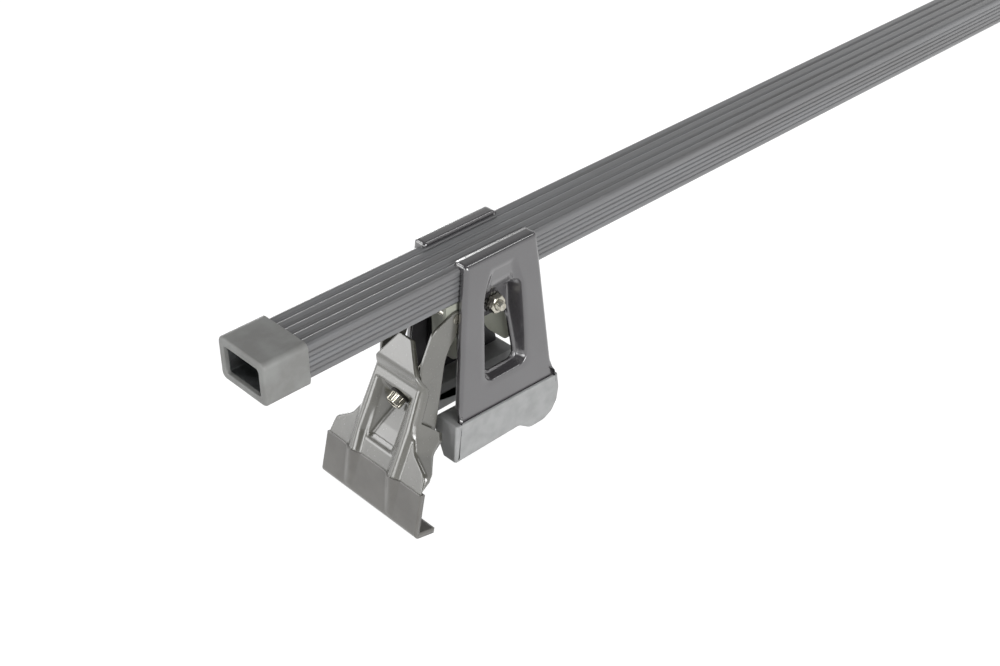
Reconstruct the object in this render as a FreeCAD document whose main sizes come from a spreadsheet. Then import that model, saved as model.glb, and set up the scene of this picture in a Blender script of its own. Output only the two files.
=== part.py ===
import FreeCAD, Part

import os
import re

import Sketcher

# Roof rack crossbar: a ribbed steel bar with two feet and their door-frame clamps.
# Millimetres. +Z is up, X runs along the bar and Y across it. The origin lies under the
# middle of the bar, on the level of the hook tips that the whole thing stands on.
# Every foot is worked out in its own frame: u along the bar and positive inboard, v across
# the bar, w up from the bar's top face. Both feet are alike, half a turn apart.

Vector = FreeCAD.Vector
Rotation = FreeCAD.Rotation
Placement = FreeCAD.Placement

SIZES = {
    # The bar and its plastic sleeve
    "bar_length": 1180.0,
    "bar_width": 34.5,
    "bar_height": 22.0,
    "bar_corner": 2.4,
    "sleeve_wall": 1.0,
    "tube_wall": 1.5,
    "tube_corner": 2.2,
    "top_grooves": 4,
    "top_groove_wide": 3.4,
    "top_groove_deep": 0.45,
    "top_groove_pitch": 6.8,
    "side_grooves": 5,
    "side_groove_wide": 1.5,
    "side_groove_deep": 0.5,
    "side_groove_pitch": 3.1,
    # End caps
    "cap_length": 28.5,
    "cap_wall": 2.1,
    "cap_end_wall": 2.6,
    "cap_corner": 3.4,
    "cap_edge": 1.2,
    # Where a foot stands, and the sheet that it is pressed from
    "foot_inset": 161.2,
    "sheet": 2.0,
    "slide_gap": 0.2,
    # Shells
    "lip_inner": 12.6,
    "shell_top_half": 21.8,
    "shell_flare": 0.040,
    "shell_top_wide": 54.8,
    "shell_side_flare": 0.105,
    "seam_drop": 97.5,
    "tuck": 8.5,
    "flange_depth": 4.2,
    "flange_end_drop": 86.0,
    "bend_radius": 3.0,
    "dish_top_drop": 4.5,
    "dish_top_half": 10.0,
    "dish_waist_drop": 22.0,
    "dish_waist_half": 15.4,
    "dish_low_drop": 79.8,
    "dish_low_half": 17.6,
    "dish_corner": 5.0,
    "dish_ramp": 2.9,
    "dish_floor_v": 12.8,
    "dish_floor_half": 13.1,
    "floor_top_drop": 27.5,
    "floor_bend_drop": 43.5,
    "floor_low_v": 19.2,
    "window_half": 12.2,
    "window_corner": 3.0,
    # Pads
    "pad_outer_v": 27.8,
    "pad_inner_v": 10.4,
    "pad_top_drop": 96.5,
    "pad_sole_drop": 122.3,
    "pad_toe_drop": 128.6,
    "pad_top_fall": 2.6,
    "pad_heel_u": 43.8,
    "pad_heel_rake": 2.1,
    "pad_nose_u": 42.2,
    "pad_nose_lean": 1.5,
    "pad_toe_back": 13.0,
    "pad_toe_long": 11.0,
    "pad_step_u": 9.0,
    "pad_round": 2.5,
    "pad_bevel": 7.0,
    "pad_bevel_high": 16.0,
    "slot_gap": 0.1,
    # Saddle inside the foot
    "saddle_sheet": 2.4,
    "saddle_half": 10.5,
    "saddle_inboard_u": 17.9,
    "saddle_outboard_u": 25.3,
    "saddle_inboard_drop": 72.0,
    "saddle_outboard_drop": 67.0,
    "saddle_corner": 5.0,
    "slot_half": 3.7,
    "cheek_half": 15.9,
    "cheek_end_u": 37.5,
    "cheek_start_u": 20.0,
    "cheek_round": 7.0,
    # Pivot of the clamp
    "pivot_u": 31.2,
    "pivot_drop": 31.0,
    "pin_radius": 3.0,
    "pin_play": 0.05,
    "pin_half": 18.5,
    "bore_play": 0.3,
    # Cross bolt with its nut
    "bolt_drop": 35.5,
    "bolt_radius": 3.0,
    "hex_flats": 10.0,
    "nut_height": 5.0,
    "head_height": 4.0,
    "lock_washer_radius": 6.6,
    "lock_washer_thick": 1.2,
    "bolt_proud": 3.2,
    # Clamp plate, in its own frame: s runs up the plate, n goes inboard through it
    "clamp_lean": 25.0,
    "clamp_seam_u": 84.2,
    "clamp_seam_drop": 114.0,
    "clamp_sheet": 2.0,
    "base_depth": 3.2,
    "ridge_s": 55.0,
    "ridge_half": 18.1,
    "rib_wide": 4.4,
    "rib_seam_half": 21.9,
    "shoulder_s": 9.0,
    "shoulder_half": 40.5,
    "scallop_s": 21.0,
    "scallop_half": 28.6,
    "shoulder_flange": 8.5,
    "ear_deep": 26.5,
    "ear_waist_n": 13.6,
    "ear_waist_s": 75.0,
    "ear_boss": 6.4,
    "ear_proud": 3.0,
    "kick": 12.1,
    "skirt": 28.0,
    "hook_half": 41.1,
    "hook_length": 13.6,
    "neck_rise": 24.0,
    "neck_out": 16.3,
    "neck_top_half": 4.6,
    "seat_s": 42.9,
    "seat_n": 7.5,
    "pocket_depth": 13.4,
    "pocket_half": 13.8,
    "pocket_low_s": 8.6,
    "pocket_floor_half": 9.0,
    "coat": 0.8,
    # Clamp screw with its washer and swivel nut
    "screw_rise": 28.0,
    "screw_radius": 3.0,
    "screw_play": 0.4,
    "screw_length": 65.0,
    "screw_head_radius": 5.0,
    "screw_head_height": 6.0,
    "socket_flats": 5.0,
    "socket_depth": 3.0,
    "seat_washer_radius": 6.2,
    "seat_washer_thick": 1.2,
    "barrel_radius": 5.0,
    "barrel_half": 8.0,
}

# Derived sizes, written as formulas of the sizes above
HALF_SPAN = "(bar_length / 2 - foot_inset)"
LIP_TOP = "(sheet + slide_gap)"
SHELL_LOW = "(seam_drop + tuck)"
LEAN_SIN = "sin(clamp_lean * 1 deg)"
LEAN_COS = "cos(clamp_lean * 1 deg)"
KICK_SIN = "sin(kick * 1 deg)"
KICK_COS = "cos(kick * 1 deg)"
AXIS_SIN = "sin(screw_rise * 1 deg)"
AXIS_COS = "cos(screw_rise * 1 deg)"
# Lowest corner of the hook in the clamp's frame, and how far it hangs below the bar's top
HOOK_CORNER_N = f"(base_depth + skirt * {KICK_SIN})"
HOOK_CORNER_S = f"(-skirt * {KICK_COS})"
HOOK_TIP_N = f"({HOOK_CORNER_N} + hook_length * {KICK_COS})"
HOOK_TIP_S = f"({HOOK_CORNER_S} + hook_length * {KICK_SIN})"
COAT_TIP_N = f"({HOOK_TIP_N} + coat * ({KICK_COS} + {KICK_SIN}))"
COAT_TIP_S = f"({HOOK_TIP_S} + coat * ({KICK_SIN} - {KICK_COS}))"
STAND = f"(clamp_seam_drop - {COAT_TIP_S} * {LEAN_COS} + {COAT_TIP_N} * {LEAN_SIN})"
# Seat of the screw head in the foot's frame, and the swivel nut abreast of the pivot
SEAT_U = f"(-clamp_seam_u + seat_s * {LEAN_SIN} + seat_n * {LEAN_COS})"
SEAT_W = f"(-clamp_seam_drop + seat_s * {LEAN_COS} - seat_n * {LEAN_SIN})"
REACH = f"((-pivot_u - {SEAT_U}) * {AXIS_COS} + (-pivot_drop - {SEAT_W}) * {AXIS_SIN})"
SWIVEL_U = f"({SEAT_U} + {REACH} * {AXIS_COS})"
SWIVEL_W = f"({SEAT_W} + {REACH} * {AXIS_SIN})"
# The pivot in the clamp's frame
PIVOT_S = f"((clamp_seam_u - pivot_u) * {LEAN_SIN} + (clamp_seam_drop - pivot_drop) * {LEAN_COS})"
PIVOT_N = f"((clamp_seam_u - pivot_u) * {LEAN_COS} - (clamp_seam_drop - pivot_drop) * {LEAN_SIN})"
# The screw's axis in the clamp's frame, and where the screw's seat meets the ridge
LOCAL_AXIS_N = "cos((screw_rise + clamp_lean) * 1 deg)"
LOCAL_AXIS_S = "sin((screw_rise + clamp_lean) * 1 deg)"
SEAT_EDGE_S = f"(seat_s + seat_n * {LOCAL_AXIS_N} / {LOCAL_AXIS_S})"

WORD = re.compile(r"[a-z_]+")
document = FreeCAD.newDocument("crossbar")
sheet = document.addObject("Spreadsheet::Sheet", "Sizes")
for row, (alias, number) in enumerate(SIZES.items(), start=1):
    sheet.set(f"A{row}", alias)
    sheet.set(f"B{row}", str(number))
    sheet.setAlias(f"B{row}", alias)
document.recompute()

finished = {}


def bound(formula):
    """Returns a formula in which each size is named by its cell in the sheet."""
    return WORD.sub(lambda m: "Sizes." + m.group() if m.group() in SIZES else m.group(), str(formula))


def value(formula):
    """Returns a formula's value as a plain number."""
    return float(sheet.evalExpression(bound(formula)))


def bind(thing, **properties):
    """Ties properties of a document object to formulas of the sizes."""
    for name, formula in properties.items():
        thing.setExpression(name, bound(formula))
    return thing


def place(thing, u="0", v="0", w="0", turn=Rotation(), side=0):
    """Puts an object at a point of the bar's frame, or of one foot's frame where side is 1 or -1.

    side 1 is the foot at the -X end and side -1 the foot at the +X end, half a turn round.
    """
    if side:
        x = f"{side} * (-{HALF_SPAN} + ({u}))"
        y = f"{side} * ({v})"
        half_turn = Rotation(Vector(0, 0, 1), 0 if side > 0 else 180)
        thing.Placement = Placement(Vector(), half_turn.multiply(turn))
    else:
        x, y = u, v
        thing.Placement = Placement(Vector(), turn)
    thing.setExpression(".Placement.Base.x", bound(x))
    thing.setExpression(".Placement.Base.y", bound(y))
    thing.setExpression(".Placement.Base.z", bound(f"{STAND} + ({w})"))
    return thing


def draw_outline(sketch, corners):
    """Draws a closed outline whose corners are tied to formulas of the sizes."""
    spots = [Vector(value(a), value(b), 0) for a, b in corners]
    first = sketch.GeometryCount
    count = len(spots)
    for index in range(count):
        line = Part.LineSegment(spots[index], spots[(index + 1) % count])
        sketch.addGeometry(line, False)
    for index in range(count):
        after = first + (index + 1) % count
        sketch.addConstraint(Sketcher.Constraint("Coincident", first + index, 2, after, 1))
    for index, (a, b) in enumerate(corners):
        for kind, formula, number in (("DistanceX", a, spots[index].x), ("DistanceY", b, spots[index].y)):
            tie = sketch.addConstraint(Sketcher.Constraint(kind, -1, 1, first + index, 1, number))
            sketch.setExpression(f"Constraints[{tie}]", bound(formula))


def draw_box(sketch, left, right, low, high):
    """Draws an upright rectangle between four formulas."""
    draw_outline(sketch, [(left, low), (right, low), (right, high), (left, high)])


def draw_circle(sketch, radius, across="0", up="0"):
    """Draws a circle tied to its radius and centre."""
    index = sketch.addGeometry(Part.Circle(Vector(value(across), value(up), 0), Vector(0, 0, 1), value(radius)))
    tie = sketch.addConstraint(Sketcher.Constraint("Radius", index, value(radius)))
    sketch.setExpression(f"Constraints[{tie}]", bound(radius))
    for kind, formula in (("DistanceX", across), ("DistanceY", up)):
        tie = sketch.addConstraint(Sketcher.Constraint(kind, -1, 1, index, 3, value(formula)))
        sketch.setExpression(f"Constraints[{tie}]", bound(formula))


# Loose profiles for pressed sheet: "side" is seen along Y with u or n to the right, "front"
# along X with v to the right, and "top" along Z with v upwards. Each is extruded along its
# axis between two formulas.
VIEWS = {
    "side": (Rotation(Vector(1, 0, 0), 90), Vector(0, 1, 0), "y"),
    "front": (Rotation(Vector(1, 1, 1), 120), Vector(1, 0, 0), "x"),
    "top": (Rotation(), Vector(0, 0, 1), "z"),
}


def flat_sketch(name, view, corners, level):
    """Returns a sketch of one outline on a plane of the given view."""
    turn, _, letter = VIEWS[view]
    sketch = document.addObject("Sketcher::SketchObject", name)
    sketch.Placement = Placement(Vector(), turn)
    sketch.setExpression(f".Placement.Base.{letter}", bound(level))
    draw_outline(sketch, corners)
    return sketch


def prism(name, view, corners, low, high):
    """Returns an outline extruded along its view's axis from low to high."""
    solid = document.addObject("Part::Extrusion", name)
    solid.Base = flat_sketch(name + "_profile", view, corners, low)
    solid.DirMode = "Custom"
    solid.Dir = VIEWS[view][1]
    solid.Solid = True
    bind(solid, LengthFwd=f"({high}) - ({low})")
    return solid


def cylinder(name, radius, height):
    """Returns a cylinder that stands on the origin along Z."""
    return bind(document.addObject("Part::Cylinder", name), Radius=radius, Height=height)


def hexagon(name, flats, height):
    """Returns a six-sided prism that stands on the origin along Z."""
    solid = document.addObject("Part::Prism", name)
    solid.Polygon = 6
    return bind(solid, Circumradius=f"({flats}) / sqrt(3)", Height=height)


def moved(thing, x="0", y="0", z="0", turn=Rotation()):
    """Places a building block before it is joined to others."""
    thing.Placement = Placement(Vector(), turn)
    for letter, formula in (("x", x), ("y", y), ("z", z)):
        thing.setExpression(f".Placement.Base.{letter}", bound(formula))
    return thing


def joined(name, *things):
    """Returns the union of solids."""
    whole = document.addObject("Part::MultiFuse", name)
    whole.Shapes = list(things)
    whole.Refine = True
    return whole


def shared(name, *things):
    """Returns what solids have in common."""
    whole = document.addObject("Part::MultiCommon", name)
    whole.Shapes = list(things)
    return whole


def without(name, base, *tools):
    """Returns a solid with others taken away from it."""
    tool = tools[0] if len(tools) == 1 else joined(name + "_tools", *tools)
    rest = document.addObject("Part::Cut", name)
    rest.Base = base
    rest.Tool = tool
    rest.Refine = True
    return rest


def rounded(name, base, radius, chosen):
    """Returns a solid with the edges that chosen accepts rounded to a radius."""
    document.recompute()
    result = document.addObject("Part::Fillet", name)
    result.Base = base
    amount = value(radius)
    result.Edges = [
        (index, amount, amount)
        for index, edge in enumerate(base.Shape.Edges, start=1)
        if chosen(edge)
    ]
    return result


def runs_along(edge, axis):
    """Tells whether a straight edge lies along an axis."""
    if not isinstance(edge.Curve, Part.Line):
        return False
    return abs(edge.Curve.Direction.dot(axis)) > 0.999


def node(name, thing):
    """Names an object as a finished sub-part."""
    thing.Label = name
    finished[name] = thing
    return thing


# Bodies with features


def new_body(name):
    """Starts a body."""
    return document.addObject("PartDesign::Body", name)


def sketch_on(body, name, role, level="0"):
    """Starts a sketch on one of a body's own planes, lifted off it by a formula."""
    sketch = body.newObject("Sketcher::SketchObject", name)
    plane = next(part for part in body.Origin.OriginFeatures if part.Role == role)
    sketch.AttachmentSupport = (plane, [""])
    sketch.MapMode = "FlatFace"
    sketch.setExpression(".AttachmentOffset.Base.z", bound(level))
    return sketch


def feature(body, kind, name, profile, **formulas):
    """Adds a sketch-based feature whose sizes follow formulas."""
    result = body.newObject("PartDesign::" + kind, name)
    result.Profile = profile
    profile.Visibility = False
    return bind(result, **formulas)


def through(body, name, profile):
    """Cuts a profile through the whole body, both ways from its plane."""
    result = body.newObject("PartDesign::Pocket", name)
    result.Profile = profile
    result.Type = "ThroughAll"
    result.SideType = "Symmetric"
    return result


def softened(body, name, radius, chosen):
    """Rounds the edges of a body's tip that chosen accepts."""
    document.recompute()
    tip = body.Tip
    names = [f"Edge{i}" for i, edge in enumerate(tip.Shape.Edges, start=1) if chosen(edge)]
    result = body.newObject("PartDesign::Fillet", name)
    result.Base = (tip, names)
    return bind(result, Radius=radius)


def bevelled(body, name, size, chosen):
    """Bevels the edges of a body's tip that chosen accepts."""
    document.recompute()
    tip = body.Tip
    names = [f"Edge{i}" for i, edge in enumerate(tip.Shape.Edges, start=1) if chosen(edge)]
    result = body.newObject("PartDesign::Chamfer", name)
    result.Base = (tip, names)
    return bind(result, Size=size)


def repeated(body, name, original, role_axis, length, count):
    """Repeats a feature along one of its sketch's axes."""
    result = body.newObject("PartDesign::LinearPattern", name)
    result.Originals = [original]
    result.Direction = (original.Profile[0], [role_axis])
    bind(result, Length=length, Occurrences=count)
    body.Tip = result
    return result


# The bar


def build_tube():
    """Rectangular steel tube with rounded corners, the bar's core."""
    body = new_body("tube_body")
    outer = sketch_on(body, "tube_outer", "YZ_Plane")
    half_wide = "(bar_width / 2 - sleeve_wall)"
    draw_box(outer, f"-{half_wide}", half_wide, "-bar_height + sleeve_wall", "-sleeve_wall")
    pad = feature(body, "Pad", "tube_length", outer, Length="bar_length - 2 * cap_end_wall")
    pad.SideType = "Symmetric"
    inner = sketch_on(body, "tube_inner", "YZ_Plane")
    half_bore = "(bar_width / 2 - sleeve_wall - tube_wall)"
    bore_low, bore_high = "-bar_height + sleeve_wall + tube_wall", "-sleeve_wall - tube_wall"
    draw_box(inner, f"-{half_bore}", half_bore, bore_low, bore_high)
    through(body, "tube_bore", inner)
    reach = value(half_wide) - 0.01
    softened(body, "tube_corners", "tube_corner",
             lambda e: runs_along(e, Vector(1, 0, 0)) and abs(e.CenterOfMass.y) > reach)
    softened(body, "tube_inner_corners", "tube_corner - tube_wall",
             lambda e: runs_along(e, Vector(1, 0, 0)) and abs(abs(e.CenterOfMass.y) - value(half_bore)) < 0.01)
    place(node("steel_tube", body))


def build_sleeve():
    """Plastic sleeve drawn over the tube, grooved along its top and both sides."""
    body = new_body("sleeve_body")
    outer = sketch_on(body, "sleeve_outer", "YZ_Plane")
    draw_box(outer, "-bar_width / 2", "bar_width / 2", "-bar_height", "0")
    pad = feature(body, "Pad", "sleeve_length", outer, Length="bar_length - 2 * cap_end_wall")
    pad.SideType = "Symmetric"
    softened(body, "sleeve_corners", "bar_corner", lambda e: runs_along(e, Vector(1, 0, 0)))
    inner = sketch_on(body, "sleeve_inner", "YZ_Plane")
    half_wide = "(bar_width / 2 - sleeve_wall)"
    draw_box(inner, f"-{half_wide}", half_wide, "-bar_height + sleeve_wall", "-sleeve_wall")
    through(body, "sleeve_bore", inner)
    softened(body, "sleeve_inner_corners", "tube_corner - 0.3",
             lambda e: runs_along(e, Vector(1, 0, 0)) and abs(abs(e.CenterOfMass.y) - value(half_wide)) < 0.01)
    top = sketch_on(body, "top_groove", "YZ_Plane")
    start = "(-(top_grooves - 1) * top_groove_pitch / 2)"
    draw_outline(top, [
        (f"{start} - top_groove_wide / 2", "0.1"),
        (f"{start} - top_groove_wide / 3", "-top_groove_deep"),
        (f"{start} + top_groove_wide / 3", "-top_groove_deep"),
        (f"{start} + top_groove_wide / 2", "0.1"),
    ])
    first = through(body, "top_groove_cut", top)
    repeated(body, "top_groove_row", first, "H_Axis", "(top_grooves - 1) * top_groove_pitch", "top_grooves")
    sides = sketch_on(body, "side_grooves", "YZ_Plane")
    low = "(-bar_height / 2 - (side_grooves - 1) * side_groove_pitch / 2)"
    for sign in ("-", ""):
        draw_outline(sides, [
            (f"{sign}(bar_width / 2 + 0.1)", f"{low} - side_groove_wide / 2"),
            (f"{sign}(bar_width / 2 + 0.1)", f"{low} + side_groove_wide / 2"),
            (f"{sign}(bar_width / 2 - side_groove_deep)", f"{low} + side_groove_wide / 4"),
            (f"{sign}(bar_width / 2 - side_groove_deep)", f"{low} - side_groove_wide / 4"),
        ])
    second = through(body, "side_groove_cut", sides)
    row = "(side_grooves - 1) * side_groove_pitch"
    repeated(body, "side_groove_row", second, "V_Axis", row, "side_grooves")
    place(node("bar_sleeve", body))


def build_cap(name, side):
    """Soft end cap pulled over the bar, with a window in its end face."""
    body = new_body(name + "_body")
    outer = sketch_on(body, name + "_outer", "YZ_Plane")
    reach = "(bar_width / 2 + cap_wall)"
    draw_box(outer, f"-{reach}", reach, "-bar_height - cap_wall", "cap_wall")
    feature(body, "Pad", name + "_block", outer, Length="cap_length")
    softened(body, name + "_corners", "cap_corner", lambda e: runs_along(e, Vector(1, 0, 0)))
    bevelled(body, name + "_face_edge", "cap_edge", lambda e: e.BoundBox.XMax < 0.01)
    bore = sketch_on(body, name + "_bore", "YZ_Plane", "cap_end_wall")
    draw_box(bore, "-bar_width / 2", "bar_width / 2", "-bar_height", "0")
    cut = feature(body, "Pocket", name + "_bore_cut", bore, Length="cap_length")
    cut.Reversed = True
    window = sketch_on(body, name + "_window", "YZ_Plane")
    half = "(bar_width / 2 - sleeve_wall - tube_wall)"
    draw_box(window, f"-{half}", half, "-bar_height + sleeve_wall + tube_wall", "-sleeve_wall - tube_wall")
    through(body, name + "_window_cut", window)
    place(node(name, body), "-foot_inset", side=side)


# One foot


def half_at(drop):
    """Returns the formula of how far a shell's outer face stands off the middle at a depth."""
    return f"(shell_top_half + (({drop}) + {LIP_TOP}) * shell_flare)"


def wide_at(drop):
    """Returns the formula of half a shell's outline width at a depth."""
    return f"(shell_top_wide / 2 + (({drop}) + {LIP_TOP}) * shell_side_flare)"


def dish_solid(name, grow):
    """Returns the hollow pressed into a shell, or the solid one sheet larger that backs it.

    It deepens by a ramp beside the bar, has a flat seat for the cross bolt and runs out
    towards the window's lower edge.
    """
    outline = prism(name + "_outline", "side", [
        (f"-dish_top_half - {grow}", f"-dish_top_drop + {grow}"),
        (f"dish_top_half + {grow}", f"-dish_top_drop + {grow}"),
        (f"dish_waist_half + {grow}", "-dish_waist_drop"),
        (f"dish_low_half + {grow}", "-dish_low_drop + dish_corner"),
        (f"dish_low_half + {grow} - dish_corner", f"-dish_low_drop - {grow}"),
        (f"-dish_low_half - {grow} + dish_corner", f"-dish_low_drop - {grow}"),
        (f"-dish_low_half - {grow}", "-dish_low_drop + dish_corner"),
        (f"-dish_waist_half - {grow}", "-dish_waist_drop"),
    ], "-40", "0")
    mouth = half_at("dish_low_drop")
    walls = prism(name + "_walls", "top", [
        (f"-dish_low_half - 1 - {grow}", f"-{mouth} - 1"),
        (f"dish_low_half + 1 + {grow}", f"-{mouth} - 1"),
        (f"dish_low_half - 3 + {grow}", f"-{mouth} + 3.5"),
        (f"dish_floor_half + {grow}", f"-dish_floor_v + {grow}"),
        (f"-dish_floor_half - {grow}", f"-dish_floor_v + {grow}"),
        (f"-dish_low_half + 3 - {grow}", f"-{mouth} + 3.5"),
    ], "-120", "20")
    ramp_v = f"({half_at('bar_height')} - dish_ramp)"
    depth = prism(name + "_depth", "front", [
        (f"-{half_at('0')} - 5", f"-dish_top_drop + 2 + {grow}"),
        (f"-{half_at('dish_top_drop')}", f"-dish_top_drop + {grow}"),
        (f"-{ramp_v} + {grow}", f"-bar_height - 0.5 + {grow} / 2"),
        (f"-dish_floor_v + {grow}", f"-floor_top_drop + {grow} / 2"),
        (f"-dish_floor_v + {grow}", "-floor_bend_drop"),
        (f"-floor_low_v + {grow}", f"-dish_low_drop + 1 - {grow}"),
        (f"-{mouth}", f"-dish_low_drop - {grow}"),
        (f"-{mouth} - 5", f"-dish_low_drop - {grow}"),
    ], "-60", "60")
    return shared(name, outline, walls, depth)


def build_shell(name, side, face):
    """Pressed shell with an inturned lip on the bar, side flanges, dished web and window.

    face 1 is the shell that the photograph's side shows, -1 the one behind the bar.
    """
    low, end = SHELL_LOW, "flange_end_drop"
    section = prism(name + "_section", "front", [
        ("-lip_inner", LIP_TOP),
        (f"-{half_at('-' + LIP_TOP)}", LIP_TOP),
        (f"-{half_at(low)}", f"-{low}"),
        (f"-{half_at(low)} + sheet", f"-{low}"),
        (f"-{half_at(end + ' + 8')} + sheet", f"-{end} - 8"),
        (f"-{half_at(end)} + flange_depth", f"-{end}"),
        (f"-{half_at('0')} + flange_depth", f"{LIP_TOP} - sheet"),
        ("-lip_inner", f"{LIP_TOP} - sheet"),
    ], "-60", "60")
    outline = prism(name + "_outline", "side", [
        (f"-{wide_at('-' + LIP_TOP)}", LIP_TOP),
        (f"{wide_at('-' + LIP_TOP)}", LIP_TOP),
        (f"{wide_at(low)}", f"-{low}"),
        (f"-{wide_at(low)}", f"-{low}"),
    ], "-40", "0")
    blank = shared(name + "_blank", section, outline)
    cavity = shared(
        name + "_cavity",
        prism(name + "_cavity_section", "front", [
            (f"-{half_at('0')} + sheet", f"{LIP_TOP} - sheet"),
            (f"-{half_at(low + ' + 5')} + sheet", f"-{low} - 5"),
            ("-5", f"-{low} - 5"),
            ("-5", f"{LIP_TOP} - sheet"),
        ], "-60", "60"),
        prism(name + "_cavity_outline", "side", [
            (f"-{wide_at('0')} + sheet", f"{LIP_TOP} - sheet"),
            (f"{wide_at('0')} - sheet", f"{LIP_TOP} - sheet"),
            (f"{wide_at(low + ' + 5')} - sheet", f"-{low} - 5"),
            (f"-{wide_at(low + ' + 5')} + sheet", f"-{low} - 5"),
        ], "-40", "0"),
    )
    tray = without(name + "_tray", blank, cavity)

    dish = dish_solid(name + "_dish", "0")
    backing = dish_solid(name + "_backing", "sheet")
    behind = prism(name + "_behind", "front", [
        (f"-{half_at('0')}", "0"), (f"-{half_at(low)}", f"-{low}"), ("0", f"-{low}"), ("0", "0"),
    ], "-60", "60")
    corner = "window_corner"
    window = prism(name + "_window", "side", [
        (f"-window_half + {corner}", "-floor_bend_drop"),
        (f"window_half - {corner}", "-floor_bend_drop"),
        ("window_half", f"-floor_bend_drop - {corner}"),
        ("window_half", f"-dish_low_drop + 1.5 + {corner}"),
        (f"window_half - {corner}", "-dish_low_drop + 1.5"),
        (f"-window_half + {corner}", "-dish_low_drop + 1.5"),
        ("-window_half", f"-dish_low_drop + 1.5 + {corner}"),
        ("-window_half", f"-floor_bend_drop - {corner}"),
    ], "-40", "0")
    hole = moved(cylinder(name + "_hole", "bolt_radius + bore_play", "40"), "0", "-40", "-bolt_drop",
                 Rotation(Vector(1, 0, 0), -90))
    pressed = joined(name + "_pressed", tray, shared(name + "_trimmed_backing", backing, behind))
    opened = without(name + "_opened", pressed, dish, window, hole)
    top = value(LIP_TOP)
    half = value(half_at("-" + LIP_TOP))

    def on_bend(edge):
        middle = edge.CenterOfMass
        return runs_along(edge, Vector(1, 0, 0)) and abs(middle.z - top) < 0.01 and abs(middle.y + half) < 0.01

    bent = rounded(name + "_bent", opened, "bend_radius", on_bend)
    turn = Rotation(Vector(0, 0, 1), 0 if face > 0 else 180)
    place(node(name, bent), turn=turn, side=side)


def is_heel(edge, outer):
    """Tells whether an edge of a pad's block is the seen edge of its heel."""
    box = edge.BoundBox
    return abs(edge.CenterOfMass.y - outer) < 0.01 and box.XMax < 0 and box.ZLength > 10


def build_pad(name, side, face):
    """Rubber pad that a shell's lower edge stands in, with a stepped sole and bevelled inside."""
    nose_u, toe = "pad_nose_u", "pad_toe_drop"
    front_top = "(pad_top_drop + pad_top_fall)"
    block = prism(name + "_block", "side", [
        ("-pad_heel_u", "-pad_sole_drop"),
        ("-pad_heel_u + pad_heel_rake", "-pad_top_drop"),
        (f"{nose_u} - pad_nose_lean", f"-{front_top}"),
        (nose_u, f"-0.58 * {front_top} - 0.42 * {toe}"),
        (f"{nose_u} - pad_nose_lean", f"-0.3 * {front_top} - 0.7 * {toe}"),
        (f"{nose_u} - pad_toe_back / 2", f"-0.1 * {front_top} - 0.9 * {toe}"),
        (f"{nose_u} - pad_toe_back", f"-{toe}"),
        (f"{nose_u} - pad_toe_back - pad_toe_long", f"-{toe}"),
        ("pad_step_u", "-pad_sole_drop"),
    ], "-pad_outer_v", "-pad_inner_v")
    bevel = prism(name + "_bevel", "front", [
        ("-pad_inner_v - pad_bevel", f"-{toe} - 5"),
        ("-pad_inner_v - pad_bevel", f"-{toe}"),
        ("-pad_inner_v", "-pad_sole_drop + pad_bevel_high"),
        ("-pad_inner_v + 5", "-pad_sole_drop + pad_bevel_high"),
        ("-pad_inner_v + 5", f"-{toe} - 5"),
    ], "-60", "60")
    slot = shared(
        name + "_slot",
        prism(name + "_slot_section", "front", [
            (f"-{half_at('seam_drop - 5')} - slot_gap", "-seam_drop + 5"),
            (f"-{half_at(SHELL_LOW)} - slot_gap", f"-{SHELL_LOW} - slot_gap"),
            (f"-{half_at(SHELL_LOW)} + sheet + slot_gap", f"-{SHELL_LOW} - slot_gap"),
            (f"-{half_at('seam_drop - 5')} + sheet + slot_gap", "-seam_drop + 5"),
        ], "-60", "60"),
        prism(name + "_slot_outline", "side", [
            (f"-{wide_at('seam_drop - 5')} - slot_gap", "-seam_drop + 5"),
            (f"{wide_at('seam_drop - 5')} + slot_gap", "-seam_drop + 5"),
            (f"{wide_at(SHELL_LOW)} + slot_gap", f"-{SHELL_LOW} - slot_gap"),
            (f"-{wide_at(SHELL_LOW)} - slot_gap", f"-{SHELL_LOW} - slot_gap"),
        ], "-40", "0"),
    )
    outer = value("-pad_outer_v")
    lowest_top = value(f"-{front_top}")

    def on_outer_rim(edge):
        middle = edge.CenterOfMass
        return abs(middle.y - outer) < 0.01 and middle.z < lowest_top + 0.01 or is_heel(edge, outer)

    soft = rounded(name + "_soft", block, "pad_round", on_outer_rim)
    cut = without(name + "_cut", soft, bevel, slot)
    if face > 0:
        place(node(name, cut), side=side)
    else:
        mirror = document.addObject("Part::Mirroring", name + "_mirrored")
        mirror.Source = cut
        mirror.Normal = Vector(0, 1, 0)
        place(node(name, mirror), side=side)


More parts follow.
